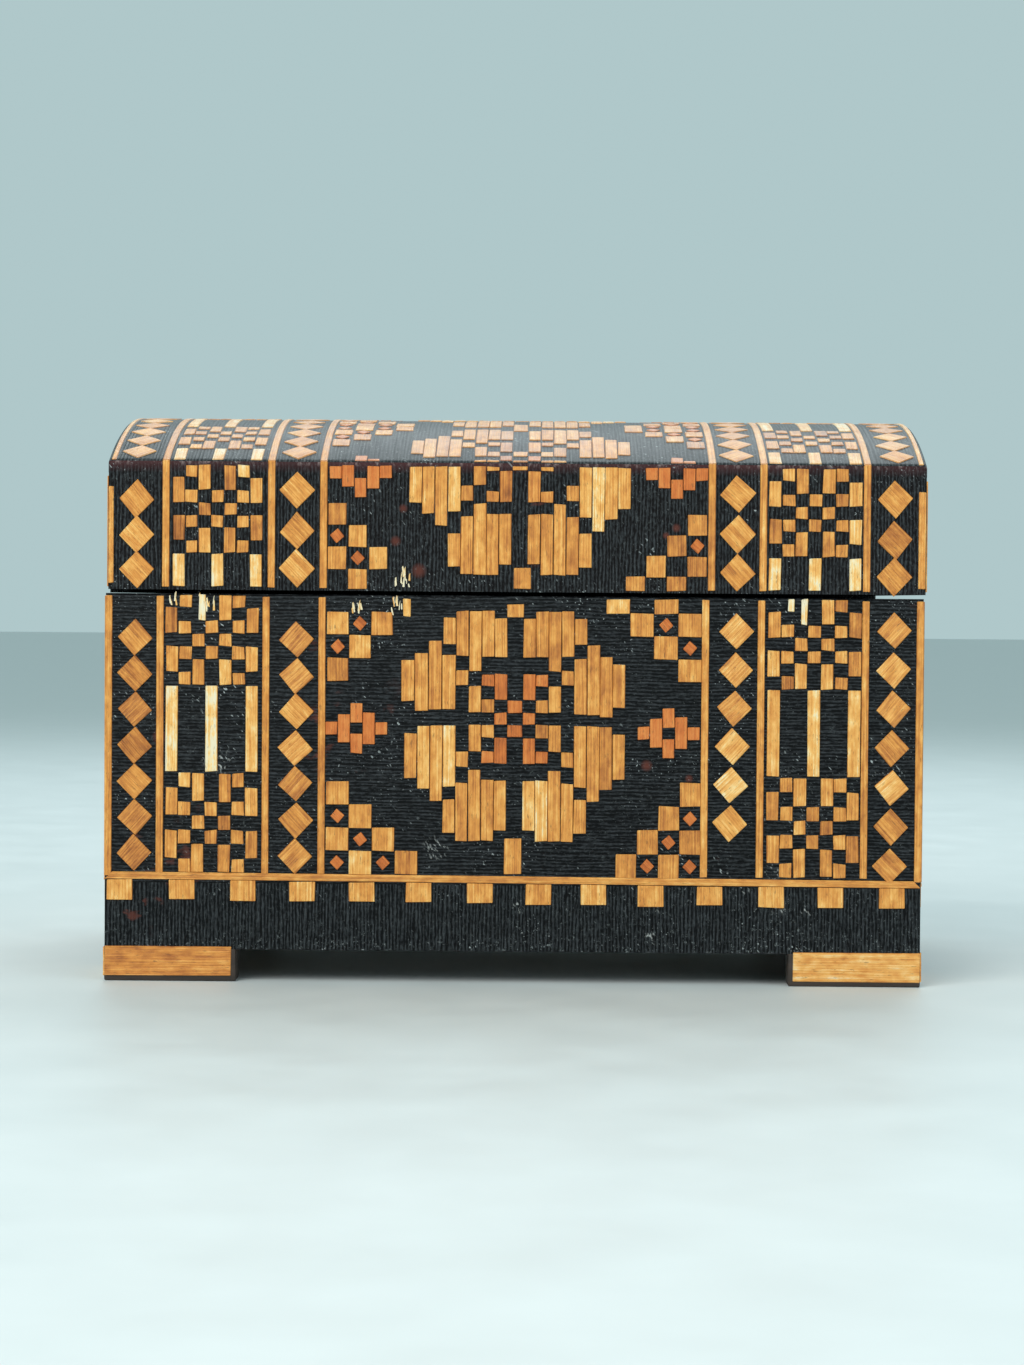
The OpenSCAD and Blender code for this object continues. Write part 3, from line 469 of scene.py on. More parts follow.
class Mosaic:
    """Collects straw pieces on one face and turns them into one mesh."""

    def __init__(self, name, face, body, seed):
        self.name, self.face, self.body = name, face, body
        self.random = random.Random(seed)
        self.points, self.quads, self.spots, self.tones, self.reds = [], [], [], [], []
        self.keep = lambda u, v: True
        self.lost = ()

    def piece(self, corners, tone=None, red=0.0, flip=False, thick=STRAW_T, jitter=0.12):
        """One straw. corners go round it from (0, 0) over (1, 0) and (1, 1); the grain runs along v."""
        rnd = self.random
        centre = [sum(c[i] for c in corners) / 4 for i in (0, 1)]
        if not self.keep(*centre):
            return
        if flip:
            corners = [*corners[1:], corners[0]]
        corners = [(c[0] + rnd.uniform(-jitter, jitter) * 0.6, c[1] + rnd.uniform(-jitter, jitter)) for c in corners]
        a, b, c, d = (Vector(p) for p in corners)
        middle = (a + b + c + d) / 4
        wide = max(((b - a).length + (c - d).length) / 2, 0.05)
        long = max(((d - a).length + (c - b).length) / 2, 0.05)
        rim_s = min(RIM_ACROSS / wide, 0.3)
        rim_t = min(RIM_ALONG / long, 0.3)
        inner = max(1, min(6, round(wide / 0.9)))
        across = [0, rim_s] + [rim_s + (1 - 2 * rim_s) * i / (inner + 1) for i in range(1, inner + 1)] + [1 - rim_s, 1]
        count = max(1, round(long / self.face.step))
        along = [0, rim_t] + [rim_t + (1 - 2 * rim_t) * i / count for i in range(1, count)] + [1 - rim_t, 1]
        seed = rnd.uniform(0, 900)
        tone = rnd.gauss(0.5, 0.09) if tone is None else rnd.gauss(tone, 0.05)
        lift = rnd.uniform(-0.02, 0.02)
        tilt = rnd.uniform(-0.02, 0.02)
        waves = [rnd.uniform(-0.028, 0.028) for _ in across]
        first = len(self.points)
        for t in along:
            left, right = a.lerp(d, t), b.lerp(c, t)
            for k, s in enumerate(across):
                p = left.lerp(right, s)
                if s in (0, 1) and t in (0, 1):
                    p = p + (middle - p).normalized() * min(0.2, wide / 5, long / 5)
                edge = s in (0, 1) or t in (0, 1)
                rim = k in (1, len(across) - 2) or t in (along[1], along[-2])
                height = EDGE_SUNK if edge else thick + lift + tilt * (s - 0.5) + waves[k] - (RIM_DROP if rim else 0)
                height = min(height, STRAW_TOP)
                self.points.append(self.face.at(p.x, p.y, height))
                self.spots.append((s * wide, t * long, seed))
                # Painted light and shade on the straw's edges: lighter on the left and top, darker on the right and
                # bottom
                side = RIGHT_PAINTED_SHADE if s == 1 else LEFT_PAINTED_LIGHT if s == 0 else 0
                self.tones.append(tone + (side or (TOP_PAINTED_LIGHT if t == 1 else LOW_PAINTED_SHADE if t == 0 else 0)))
        n, m = len(across), len(along)
        for j in range(m - 1):
            for i in range(n - 1):
                k = first + j * n + i
                self.quads.append((k, k + 1, k + n + 1, k + n))
        for j in range(m - 1):
            start = [first + i for i in range(n)] if j == 0 else [first + j * n, first + j * n + n - 1]
            k = first + (j + 1) * n
            stop = [k + i for i in range(n)] if j == m - 2 else [k, k + n - 1]
            self.quads.append(tuple(stop + start[::-1]))
        self.reds += [red] * (n * m)

    def rect(self, u0, u1, v0, v1, **options):
        """A straw with square ends."""
        if u1 - u0 > 0.25 and v1 - v0 > 0.6:
            self.piece([(u0, v0), (u1, v0), (u1, v1), (u0, v1)], **options)

    def diamond(self, u, v, ru, rv, turn=0.0, **options):
        """A square of straw on its point, grain along one edge."""
        turned = [(0, -rv), (ru, 0), (0, rv), (-ru, 0)]
        c, s = math.cos(turn), math.sin(turn)
        self.piece([(u + x * c - y * s, v + x * s + y * c) for x, y in turned], **options)

    def build(self, material, *replaces):
        """Makes the mesh and hangs it on its body."""
        mesh = bpy.data.meshes.new(self.name)
        mesh.from_pydata([tuple(p) for p in self.points], [], self.quads)
        for name, values in (("straw_tone_painted_edges", self.tones), ("straw_red", self.reds)):
            mesh.attributes.new(name, "FLOAT", "POINT").data.foreach_set("value", values)
        spots = mesh.attributes.new("straw_spot", "FLOAT_VECTOR", "POINT")
        spots.data.foreach_set("vector", [x for spot in self.spots for x in spot])
        mesh.materials.append(material)
        mesh.update()
        fix = bmesh.new()
        fix.from_mesh(mesh)
        bmesh.ops.recalc_face_normals(fix, faces=fix.faces)
        fix.to_mesh(mesh)
        fix.free()
        hang(self.name, mesh, self.body, "straw", *replaces)


# ----- the pattern -----

# One rosette: pitch of its columns, half its stem's width, then how near to and far from its middle each straw ends
COLUMN = 2.57
STEM_HALF = 1.5
LOW_PETAL = [(12.4, 22.4), (12.3, 24.5), (10.3, 24.5), (12.9, 24.5), (16.2, 23.0)]
HIGH_PETAL = [(12.3, 20.1), (12.3, 21.5), (9.5, 21.5), (12.5, 21.5), (14.9, 20.1)]
SIDE_LOW = [(1.3, 13.7), (1.4, 16.5), (1.5, 14.1), (3.0, 12.0)]
SIDE_HIGH = [(0.9, 12.1), (0.8, 14.8), (0.4, 12.5), (2.4, 11.0)]
HEART_GOLD = [(4, 6.7, 9.7), (3, 1.2, 6.6), (2, 1.2, 3.8)]
HEART_RED = [(0, 1.2, 3.7), (1, 3.8, 9.0), (2, 6.5, 8.9)]
LID_HEART = [(0, 1.2, 3.7), (1, 3.8, 10.0), (2, 7.8, 10.0)]
CHEQUER = [".XX.XX.", "X.X.X.X", "XX.X.XX", "..X.X..", "XX.X.XX", "X.X.X.X", ".XX.XX."]
CASE_LINES = [-70.75, -49.55, -38.35, 38.25, 49.4, 70.2]
CASE_BANDS = [(-69.75, -51.0), (50.6, 69.4)]
CASE_PANEL = (-37.4, 37.6)
LID_LINES = [-70.1, -49.0, -38.6, 38.95, 49.2, 69.85]
LID_BANDS = [(-68.8, -50.8), (50.2, 68.9)]
LID_PANEL = (-37.9, 38.1)
CASE_CELL = (4.6, 4.65)
LID_CELL = (4.1, 4.4)
LINE_TILT = 0.3
ROSE_Z = 53.15
COLUMN_ENDS = (69.5, 25.3)
BARS_TOP, BARS_LOW = 59.5, 41.9
LID_BARS_TOP = 7.4
SEAM_GAP = 0.5
TAB_STARTS = [-81.4, -68.9, -56.6, -44.6, -32.7, -21.4, -9.1, 2.6, 13.7, 25.1, 36.9, 49.3, 61.0, 73.3]


def column_span(k):
    """Left and right edge of rosette column k, counted from the stem."""
    if k == 0:
        return -STEM_HALF, STEM_HALF
    inner = 1.58 + (abs(k) - 1) * COLUMN
    span = (inner, inner + COLUMN - 0.06)
    return span if k > 0 else (-span[1], -span[0])


def cut(mosaic, u0, u1, v0, v1, low, high, **options):
    """A straw cut off at the lines low and high."""
    mosaic.rect(u0, u1, max(v0, low), min(v1, high), **options)


def rosette(m, u, v, low=-1e9, high=1e9, on_lid=False):
    """Eight-petalled flower of upright straws around (u, v); the lid's is cut a little shorter."""
    def straw(a, b, sign, near, far, **options):
        cut(m, u + a, u + b, *sorted((v + sign * near, v + sign * far)), low, high, **options)

    for side in (-1, 1):
        for first, part, sign in ((1, LOW_PETAL, -1), (1, HIGH_PETAL, 1), (5, SIDE_LOW, -1), (5, SIDE_HIGH, 1)):
            paler = part is SIDE_LOW and on_lid
            bright = m.random.uniform(0.44, 0.58) + (0.13 if paler else 0)
            astray = part is SIDE_HIGH and side < 0 and not on_lid
            trim = (1.7 if side < 0 else 0.8) if paler else 0
            root = column_span(side * first)[1]
            for i, (near, far) in enumerate(part):
                a, b = column_span(side * (first + i))
                if astray:
                    a, b, near, far = root + (a - root) * 1.07, root + (b - root) * 1.07, near + 1.0, far + 0.6
                straw(a, b, sign, near, far - trim, tone=bright + m.random.uniform(-0.07, 0.07))
        for sign in (-1, 1):
            for k, near, far in HEART_GOLD:
                if (side * k, sign) not in m.lost:
                    straw(*column_span(side * k), sign, near, far)
            for k, near, far in LID_HEART if on_lid else HEART_RED:
                if k or side > 0:
                    straw(*column_span(side * k), sign, near, far, red=0.2 if on_lid else 0.9)
        straw(*column_span(side), 1, -1.2, 1.2, red=0.9)


def cross(m, u, v, low=-1e9, high=1e9):
    """Stepped cross of red straw with a dark middle."""
    width = 2.5
    for k, parts in ((-2, [(-1.3, 1.3)]), (-1, [(-2.9, 2.9)]), (0, [(-5.0, -1.1), (1.1, 5.0)]),
                     (1, [(-3.2, 3.2)]), (2, [(-1.3, 1.3)])):
        for a, b in parts:
            cut(m, u + (k - 0.5) * width, u + (k + 0.5) * width - 0.06, v + a, v + b, low, high, red=1.0, tone=0.58)


def corner(m, u, v, su, sv, cell, low=-1e9, high=1e9, skip=(), slim=0.02):
    """Stepped triangle in a panel corner: squares of straw and small red diamonds."""
    wide, tall = cell
    for r in range(4):
        for c in range(4 - r):
            if (c, r) in skip:
                continue
            cu = u + su * (c + 0.5) * wide
            cv = v + sv * (r + 0.5) * tall
            if (c + r) % 2:
                ru, rv = wide / 2 - slim, tall / 2 + 0.03
                cut(m, cu - ru, cu + ru, cv - rv, cv + rv, low, high)
            elif low < cv - 1.6 and cv + 1.6 < high:
                m.diamond(cu, cv, 1.5, 1.55, m.random.uniform(-0.1, 0.1), red=1.0, tone=0.5, jitter=0.06)


def chequer(m, band, top, bottom, frayed=()):
    """Seven by seven motif of short straws; cells above each other are one straw, frayed ones are narrow and pale."""
    u0, u1 = band
    wide = (u1 - u0) / 7
    tall = (top - bottom) / 7
    for c in range(7):
        r = 0
        while r < 7:
            if CHEQUER[r][c] == "X":
                end = r
                while end < 6 and CHEQUER[end + 1][c] == "X":
                    end += 1
                drift = m.random.uniform(-0.1, 0.1)
                bare = 0.42 * wide if (c, r) in frayed else 0
                m.rect(u0 + c * wide + 0.08 + drift + bare, u0 + (c + 1) * wide - 0.08 + drift,
                       top - (end + 1) * tall + 0.02, top - r * tall - 0.04, jitter=0.17, tone=1.0 if bare else None)
                r = end
            r += 1


def bars(m, band, top, bottom, tone=0.79):
    """Three long pale straws in the outer and middle columns of a band."""
    u0, u1 = band
    wide = (u1 - u0) / 7
    for c in (0, 3, 6):
        m.rect(u0 + c * wide + 0.08, u0 + (c + 1) * wide - 0.08, bottom + 0.2, top - 0.2, tone=tone)


def lines(m, low, high, spots):
    """Thin straw lines along v."""
    for u in spots:
        m.rect(u - LINE_W / 2, u + LINE_W / 2, low, high, tone=0.52, jitter=0.05)


def diamonds(m, u, first, last, count, skip=(), lean=0.0, tone=0.5):
    """Column of diamonds from v = first to v = last; lean shifts its last one along u."""
    for i in range(count):
        if i not in skip:
            v = first + (last - first) * i / (count - 1)
            m.diamond(u + lean * i / (count - 1) + m.random.uniform(-0.12, 0.12), v, 3.55, 3.72,
                      m.random.uniform(-0.06, 0.06), jitter=0.16, flip=m.random.random() < 0.5,
                      tone=tone + m.random.uniform(-0.09, 0.09))


def skirt_line(m, half, tilt=0.0):
    """The horizontal straw line; tilt lowers its right end and raises its left end."""
    top = SKIRT_LINE_Z + LINE_W / 2
    low = SKIRT_LINE_Z - LINE_W / 2
    m.piece([(half - LINE_W, top - tilt), (half, low - tilt), (-half, low + tilt), (-half + LINE_W, top + tilt)],
            tone=0.5, jitter=0.04)


def tabs(m, starts, slope=0.0):
    """Square straw tabs hanging under the line."""
    for start in starts:
        low = SKIRT_LINE_Z - LINE_W / 2 - slope * (start + 2.6)
        u = start + m.random.uniform(-0.1, 0.1)
        m.rect(u, u + 5.2, low - 4.1 + m.random.uniform(-0.2, 0.2), low - 0.05, tone=0.6)


def torn(m, u0, u1, v0, v1, count):
    """Pale slivers left where a straw has broken away."""
    for _ in range(count):
        u = m.random.uniform(u0, u1)
        v = m.random.uniform(v0, v1)
        wide, tall = m.random.uniform(0.25, 0.6), m.random.uniform(0.9, 2.3)
        lean = m.random.uniform(-0.3, 0.3)
        m.piece([(u, v), (u + wide, v), (u + wide * 0.6 + lean, v + tall), (u + lean, v + tall * 0.8)],
                tone=m.random.uniform(0.8, 1.2), thick=0.12, jitter=0.08)


def long_case_face(m, columns, worn=False):
    """Front or back of the case."""
    lines(m, PATTERN_LOW, PATTERN_TOP, CASE_LINES)
    for sign in (-1, 1):
        a, b = sorted((sign * (HALF_W + 0.1), sign * (HALF_W - 1.45)))
        m.rect(a, b, PATTERN_LOW - 0.6, PATTERN_TOP, tone=0.52, jitter=0.04)
    skirt_line(m, HALF_W - 0.02, LINE_TILT if worn else 0)
    tabs(m, TAB_STARTS, LINE_TILT / HALF_W if worn else 0)
    for column in columns:
        diamonds(m, *column)
    for band, frayed in zip(CASE_BANDS, (((2, 0),), ((1, 0), (2, 0))) if worn else ((), ())):
        chequer(m, band, CASE_TOP - 0.2, BARS_TOP, frayed)
        bars(m, band, BARS_TOP, BARS_LOW)
        chequer(m, band, BARS_LOW - 0.1, PATTERN_LOW + 0.15)
    rosette(m, 0.3, ROSE_Z)
    m.rect(-1.4, 2.0, 73.3, 76.1)
    m.rect(-1.7, 1.8, PATTERN_LOW + 0.3, 29.3)
    cross(m, -31.35, 51.0)
    cross(m, 31.05, 50.5)
    torn_off = ((1, 0), (3, 0)) if worn else ()
    for su, edge, rise, low_cell, top_cell, skip in (
            (-1, CASE_PANEL[1], -0.25, (4.25, 4.8), (4.8, 4.55), ()),
            (1, CASE_PANEL[0], 0.1, CASE_CELL, (4.4, 4.6), torn_off)):
        corner(m, edge, PATTERN_LOW + rise, su, 1, low_cell)
        corner(m, edge, CASE_TOP + 1.2, su, -1, top_cell, high=PATTERN_TOP, skip=skip)


def case_front():
    """Front of the case, with the pieces that the photo shows torn along the seam."""
    m = Mosaic("straw_case_front", CASE_FRONT, "case", 11)
    long_case_face(m, [(-75.8, 68.8, 25.8, 7, (), 0, 0.37), (-43.55, 68.7, 25.3, 7, (), 0, 0.46),
                       (44.5, 71.0, 24.8, 7, (6,), -1.4, 0.58), (75.9, 71.4, 24.3, 7, (), -0.5, 0.5)], True)
    for place in ((-62.8, -60.2, 73.2, 76.0, 12), (-33.0, -29.6, 73.4, 75.6, 9),
                  (-24.8, -22.4, 73.0, 76.2, 8), (-69.3, -66.0, 75.2, 76.2, 7)):
        torn(m, *place)
    m.rect(-22.2, -20.6, 73.4, 77.0, tone=0.8)
    return m


def case_back():
    m = Mosaic("straw_case_back", CASE_BACK, "case", 12)
    m.keep = clear_of_hinges
    long_case_face(m, [(u, *COLUMN_ENDS, 7) for u in (-75.9, -43.9, 43.9, 75.9)])
    return m


def clear_of_hinges(u, v):
    """False where a hinge leaf covers the face."""
    lo, hi = box_mm("hinge_leaf_case")
    return not (abs(abs(u) - HINGE_X) < hi.x - HINGE_X + HINGE_ROOM and v > lo.z - 1)


def clear_of_lid_hinges(u, v):
    hi = box_mm("hinge_leaf_lid")[1]
    return not (abs(abs(u) - HINGE_X) < hi.x - HINGE_X + HINGE_ROOM and v < hi.z - LID_Z + 1)


SIDE_LINES = [-48.6, -37.9, 37.9, 48.6]
SIDE_COLUMNS = (-43.2, 43.2)
SIDE_EDGE = 37.0


def case_side(name, face, seed):
    """Left or right side of the case: the front's middle panel between two columns of diamonds."""
    m = Mosaic(name, face, "case", seed)
    lines(m, PATTERN_LOW, PATTERN_TOP, SIDE_LINES)
    skirt_line(m, HALF_D - 0.2)
    tabs(m, [-48.4 + 13.1 * i for i in range(8)])
    for u in SIDE_COLUMNS:
        diamonds(m, u, *COLUMN_ENDS, 7)
    rosette(m, 0, ROSE_Z)
    m.rect(-1.5, 1.5, 73.3, 76.1)
    m.rect(-1.7, 1.7, PATTERN_LOW + 0.3, 29.3)
    for side in (-1, 1):
        cross(m, side * 31.0, 51.0)
        corner(m, side * SIDE_EDGE, PATTERN_LOW + 0.1, -side, 1, CASE_CELL)
        corner(m, side * SIDE_EDGE, CASE_TOP + 1.2, -side, -1, CASE_CELL, high=PATTERN_TOP)
    return m


# The lid's long faces and top are one sheet of pattern: v is measured from the seam
SHEET_MID = LID_WALL + ARC_LEN / 2
FIRST_ROSE = LID_WALL + 2.1
WALL_GAP = 0.85
TOP_GAP = 0.3


def lid_sheet(m, shift, low, high):
    """The stretch of the lid's pattern from low to high, drawn shifted down by shift."""
    lo, hi = low - shift, high - shift
    for v in (FIRST_ROSE, SHEET_MID, 2 * SHEET_MID - FIRST_ROSE):
        rosette(m, 0.6, v - shift, lo, hi, True)
        drop = -4.2 if v < SHEET_MID else 0 if v == SHEET_MID else 4.2
        for u in (-31.2, 31.9):
            cross(m, u, v + drop - shift, lo, hi)
    half_way = (FIRST_ROSE + SHEET_MID) / 2
    for v in (half_way, 2 * SHEET_MID - half_way):
        cut(m, -1.0, 2.0, v - 4.2 - shift, v + 4.2 - shift, lo, hi)
        for su, edge in ((-1, LID_PANEL[1]), (1, LID_PANEL[0])):
            for sv in (-1, 1):
                corner(m, edge, v - shift, su, sv, LID_CELL, lo, hi, slim=0.2)


def lid_wall(m, tone=0.79):
    """The bands and the sheet's edge on a long wall of the lid."""
    top = LID_WALL - WALL_GAP
    for band in LID_BANDS:
        chequer(m, band, top, LID_BARS_TOP)
        bars(m, band, LID_BARS_TOP, SEAM_GAP, tone)
    lid_sheet(m, 0.0, 0.4, top)


def lid_front():
    m = Mosaic("straw_lid_front", LID_FRONT, "lid", 21)
    m.lost = ((3, -1),)
    lines(m, SEAM_GAP, LID_WALL - 0.02, LID_LINES)
    for u, wide in ((-HALF_W + 0.7, 1.0), (HALF_W - 0.95, 1.5)):
        m.rect(u - wide / 2, u + wide / 2, 1.2, 20.5, tone=0.56, jitter=0.07)
    for u, spots in ((-75.9, (18.1, 10.9, 3.9)), (-43.9, (20.0, 11.8, 4.4)), (44.1, (19.8, 11.8, 4.2)),
                     (75.4, (19.1, 10.9, 3.6))):
        for v in spots:
            m.diamond(u, v, 3.6, 3.85, m.random.uniform(-0.07, 0.07), jitter=0.17)
    lid_wall(m, 0.88)
    m.rect(-0.6, 2.9, 0.7, 4.8)
    corner(m, LID_PANEL[1], -0.9, -1, 1, (4.1, 4.12), low=0.4, slim=0.1, skip=((1, 1), (0, 0), (2, 0)))
    corner(m, LID_PANEL[0], -0.05, 1, 1, LID_CELL, low=0.4, slim=0.2, skip=((3, 0), (0, 0), (2, 0)))
    torn(m, -24.6, -21.6, 0.7, 3.6, 13)
    return m


def lid_back():
    m = Mosaic("straw_lid_back", LID_BACK, "lid", 22)
    m.keep = clear_of_lid_hinges
    lines(m, SEAM_GAP, LID_WALL - 0.02, LID_LINES)
    for u in (-75.9, -43.9, 43.9, 75.9):
        diamonds(m, u, 19.2, 4.4, 3)
    lid_wall(m)
    for su, edge in ((-1, LID_PANEL[1]), (1, LID_PANEL[0])):
        corner(m, edge, -0.3, su, 1, LID_CELL, low=0.4, slim=0.2)
    return m


def lid_top():
    m = Mosaic("straw_lid_top", LID_TOP, "lid", 23)
    lo, hi = TOP_GAP, ARC_LEN - TOP_GAP
    mid = ARC_LEN / 2
    lines(m, 0.02, ARC_LEN - 0.02, LID_LINES)
    for u in (-HALF_W + 1.2, HALF_W - 1.2):
        m.rect(u - 0.5, u + 0.5, lo, hi, tone=0.6, jitter=0.05)
    for u in (-76.0, -44.0, 44.0, 76.0):
        diamonds(m, u, mid - 6.5 * 7.2, mid + 6.5 * 7.2, 14)
    for band in LID_BANDS:
        chequer(m, band, mid + 9.1, mid - 9.1)
        for sign in (-1, 1):
            for part, near, far in ((bars, 9.1, 26.6), (chequer, 26.6, 44.8), (bars, 44.8, mid - lo)):
                low, top = sorted((mid + sign * near, mid + sign * far))
                part(m, band, top, low)
    lid_sheet(m, LID_WALL, LID_WALL + lo, LID_WALL + hi)
    return m


def lid_side(name, face, seed):
    """End of the lid: a half rosette rising from the seam under the arch."""
    m = Mosaic(name, face, "lid", seed)

    def roof(u):
        return ARC_Z + math.sqrt(ARC_R ** 2 - u ** 2) - LID_Z - 3.4

    for u in SIDE_LINES:
        lines(m, SEAM_GAP, roof(abs(u) + 0.8), [u])
    for u in SIDE_COLUMNS:
        diamonds(m, u, 4.6, 19.0, 3)
    rosette(m, 0, 2.0, low=SEAM_GAP)
    m.rect(-1.5, 1.5, 24.6, 29.5)
    for side in (-1, 1):
        corner(m, side * SIDE_EDGE, -0.3, -side, 1, LID_CELL, low=SEAM_GAP)
        cross(m, side * 24.5, 18.5)
    return m


def feet_straw(material):
    """A wide straw glued across each outer face of the four feet."""
    low, top = 1.0, box_mm("plinth_front")[0].z + 0.45
    length = 25.4
    for name, face, half in (
            ("front", CASE_FRONT, HALF_W), ("back", CASE_BACK, HALF_W),
            ("left", CASE_LEFT, HALF_D), ("right", CASE_RIGHT, HALF_D)):
        m = Mosaic("straw_feet_" + name, face, "case", 31 + len(name))
        for sign in (-1, 1):
            a, b = sorted((sign * (half - 0.1), sign * (half - 0.1 - length)))
            m.piece([(b, low), (b, top), (a, top), (a, low)], tone=0.60 + 0.16 * sign, red=0.12, thick=0.25)
        m.build(material, "foot_straw")


# ----- boards with eased edges -----

def finish(bm, name, body, slot, material, node, sharp=None):
    """Makes a mesh of bm and puts it on a body in place of a CAD node; edges over sharp degrees stay sharp."""
    mesh = bpy.data.meshes.new(name)
    bm.to_mesh(mesh)
    bm.free()
    mesh.materials.append(material)
    for face in mesh.polygons:
        face.use_smooth = True
    obj = hang(name, mesh, body, slot, node)
    if sharp:
        sharpen(obj, sharp)
    return obj


def stitch(bm, low, top):
    """Joins two closed rings of points with a band of faces."""
    for i in range(len(low)):
        j = (i + 1) % len(low)
        bm.faces.new((low[i], low[j], top[j], top[i]))


def border(nx, ny):
    """Places once round the edge of a grid."""
    return ([(i, 0) for i in range(nx)] + [(nx, j) for j in range(ny)]
            + [(i, ny) for i in range(nx, 0, -1)] + [(0, j) for j in range(ny, 0, -1)])


def eased(node, body, slot, material, width, segments=4, chosen=lambda middle, line: True):
    """Copy of a CAD part with rounded edges; chosen(midpoint, direction) can pick which."""
    bm = bmesh.new()
    bm.from_mesh(NODES[node].data)
    bmesh.ops.remove_doubles(bm, verts=bm.verts, dist=1e-6)
    bmesh.ops.dissolve_limit(bm, angle_limit=math.radians(0.5), verts=bm.verts, edges=bm.edges)
    picked = []
    for edge in bm.edges:
        if len(edge.link_faces) == 2 and edge.calc_face_angle(0) > math.radians(20):
            middle = (edge.verts[0].co + edge.verts[1].co) / 2 / MM
            line = (edge.verts[1].co - edge.verts[0].co).normalized()
            if chosen(middle, line):
                picked.append(edge)
    if picked:
        bmesh.ops.bevel(bm, geom=picked, offset=width * MM, segments=segments, profile=0.5, affect="EDGES",
                        clamp_overlap=True)
    return finish(bm, node + "_eased", body, slot, material, node, 35)


def sharpen(obj, angle):
    """Keeps flat faces flat where the edges between them are sharp."""
    bm = bmesh.new()
    bm.from_mesh(obj.data)
    for edge in bm.edges:
        edge.smooth = len(edge.link_faces) == 2 and edge.calc_face_angle(0) < math.radians(angle)
    bm.to_mesh(obj.data)
    bm.free()


def near(a, b):
    """True when two places in millimetres are the same."""
    return abs(a - b) < 0.05


def build_boards(look):
    """The lacquered boards, rounded only where the outside of the box is rounded."""
    def corners(board, y_out, rim_z=None):
        def pick(p, line):
            upright = abs(line.z) > 0.9 and near(p.y, y_out) and (near(p.x, board[0].x) or near(p.x, board[1].x))
            return upright or (rim_z and abs(line.x) > 0.9 and near(p.y, y_out) and near(p.z, rim_z))
        return pick

    case, lid = (front_lo, front_hi), (lid_lo, lid_hi)
    for side, y_out in (("front", FRONT_Y), ("back", BACK_Y)):
        for node, body, board, width, edges in (
                (side + "_panel", "case", "black_lacquer", 0.7, corners(case, y_out, CASE_TOP)),
                ("plinth_" + side, "case", "skirt", 0.7, corners(case, y_out)),
                ("lid_" + side, "lid", "lid_wall", 1.2, corners(lid, y_out))):
            eased(node, body, "black_lacquer", look[board], width, chosen=edges)
    lid_top_board(look["lid_lacquer"], look["lid_wall"])
    for node in ("foot_front_left", "foot_front_right", "foot_back_left", "foot_back_right"):
        eased(node, "case", "foot_wood", look["foot_wood"], 0.35, 2, lambda p, line: abs(line.z) > 0.9 or p.z < 0.1)


def lid_top_board(material, wall_material):
    """The bent top with a softly rounded crease and rounded ends."""
    steps = 72
    round_r = 0.9
    inner_r = ARC_R - TOP_T
    foot_z = ARC_Z + math.sqrt(inner_r ** 2 - HALF_D ** 2)

    def arc(radius, start, chosen):
        """Points of an arc that runs from the angle start to its mirror image."""
        angles = [start - 2 * start * i / steps for i in chosen]
        return [(MID_Y + radius * math.sin(a), ARC_Z + radius * math.cos(a)) for a in angles]

    outer = arc(ARC_R, -ARC_HALF, range(steps + 1))
    inner = arc(inner_r, math.asin(HALF_D / inner_r), range(1, steps))
    profile = outer + [(BACK_Y, foot_z)] + inner + [(FRONT_Y, foot_z)]
    bm = bmesh.new()
    rows = [[bm.verts.new(Vector((x, y, z)) * MM) for y, z in profile] for x in (lid_lo.x, lid_hi.x)]
    bm.faces.new(list(reversed(rows[0])))
    bm.faces.new(rows[1])
    stitch(bm, *rows)
    bmesh.ops.recalc_face_normals(bm, faces=bm.faces)
    picked = []
    for edge in bm.edges:
        mid = (edge.verts[0].co + edge.verts[1].co) / 2 / MM
        along = abs(edge.verts[0].co.x - edge.verts[1].co.x) > 0.01
        outside = near(mid.y, FRONT_Y) or near(mid.y, BACK_Y)
        on_crease = along and outside and near(mid.z, CREASE_Z)
        on_end = not along and math.hypot(mid.y - MID_Y, mid.z - ARC_Z) > ARC_R - 0.1
        upright = not along and outside and mid.z > lid_front_hi.z - 3
        if on_crease or on_end or upright:
            picked.append(edge)
    bmesh.ops.bevel(bm, geom=picked, offset=round_r * MM, segments=4, profile=0.5, affect="EDGES", clamp_overlap=True)
    obj = finish(bm, "lid_top_bent", "lid", "lid_lacquer", material, "lid_top")
    obj.data.materials.append(wall_material)
    for face in obj.data.polygons:
        if face.center.z / MM < CREASE_Z - 0.2:
            face.material_index = 1
    sharpen(obj, 30)


# ----- linings -----

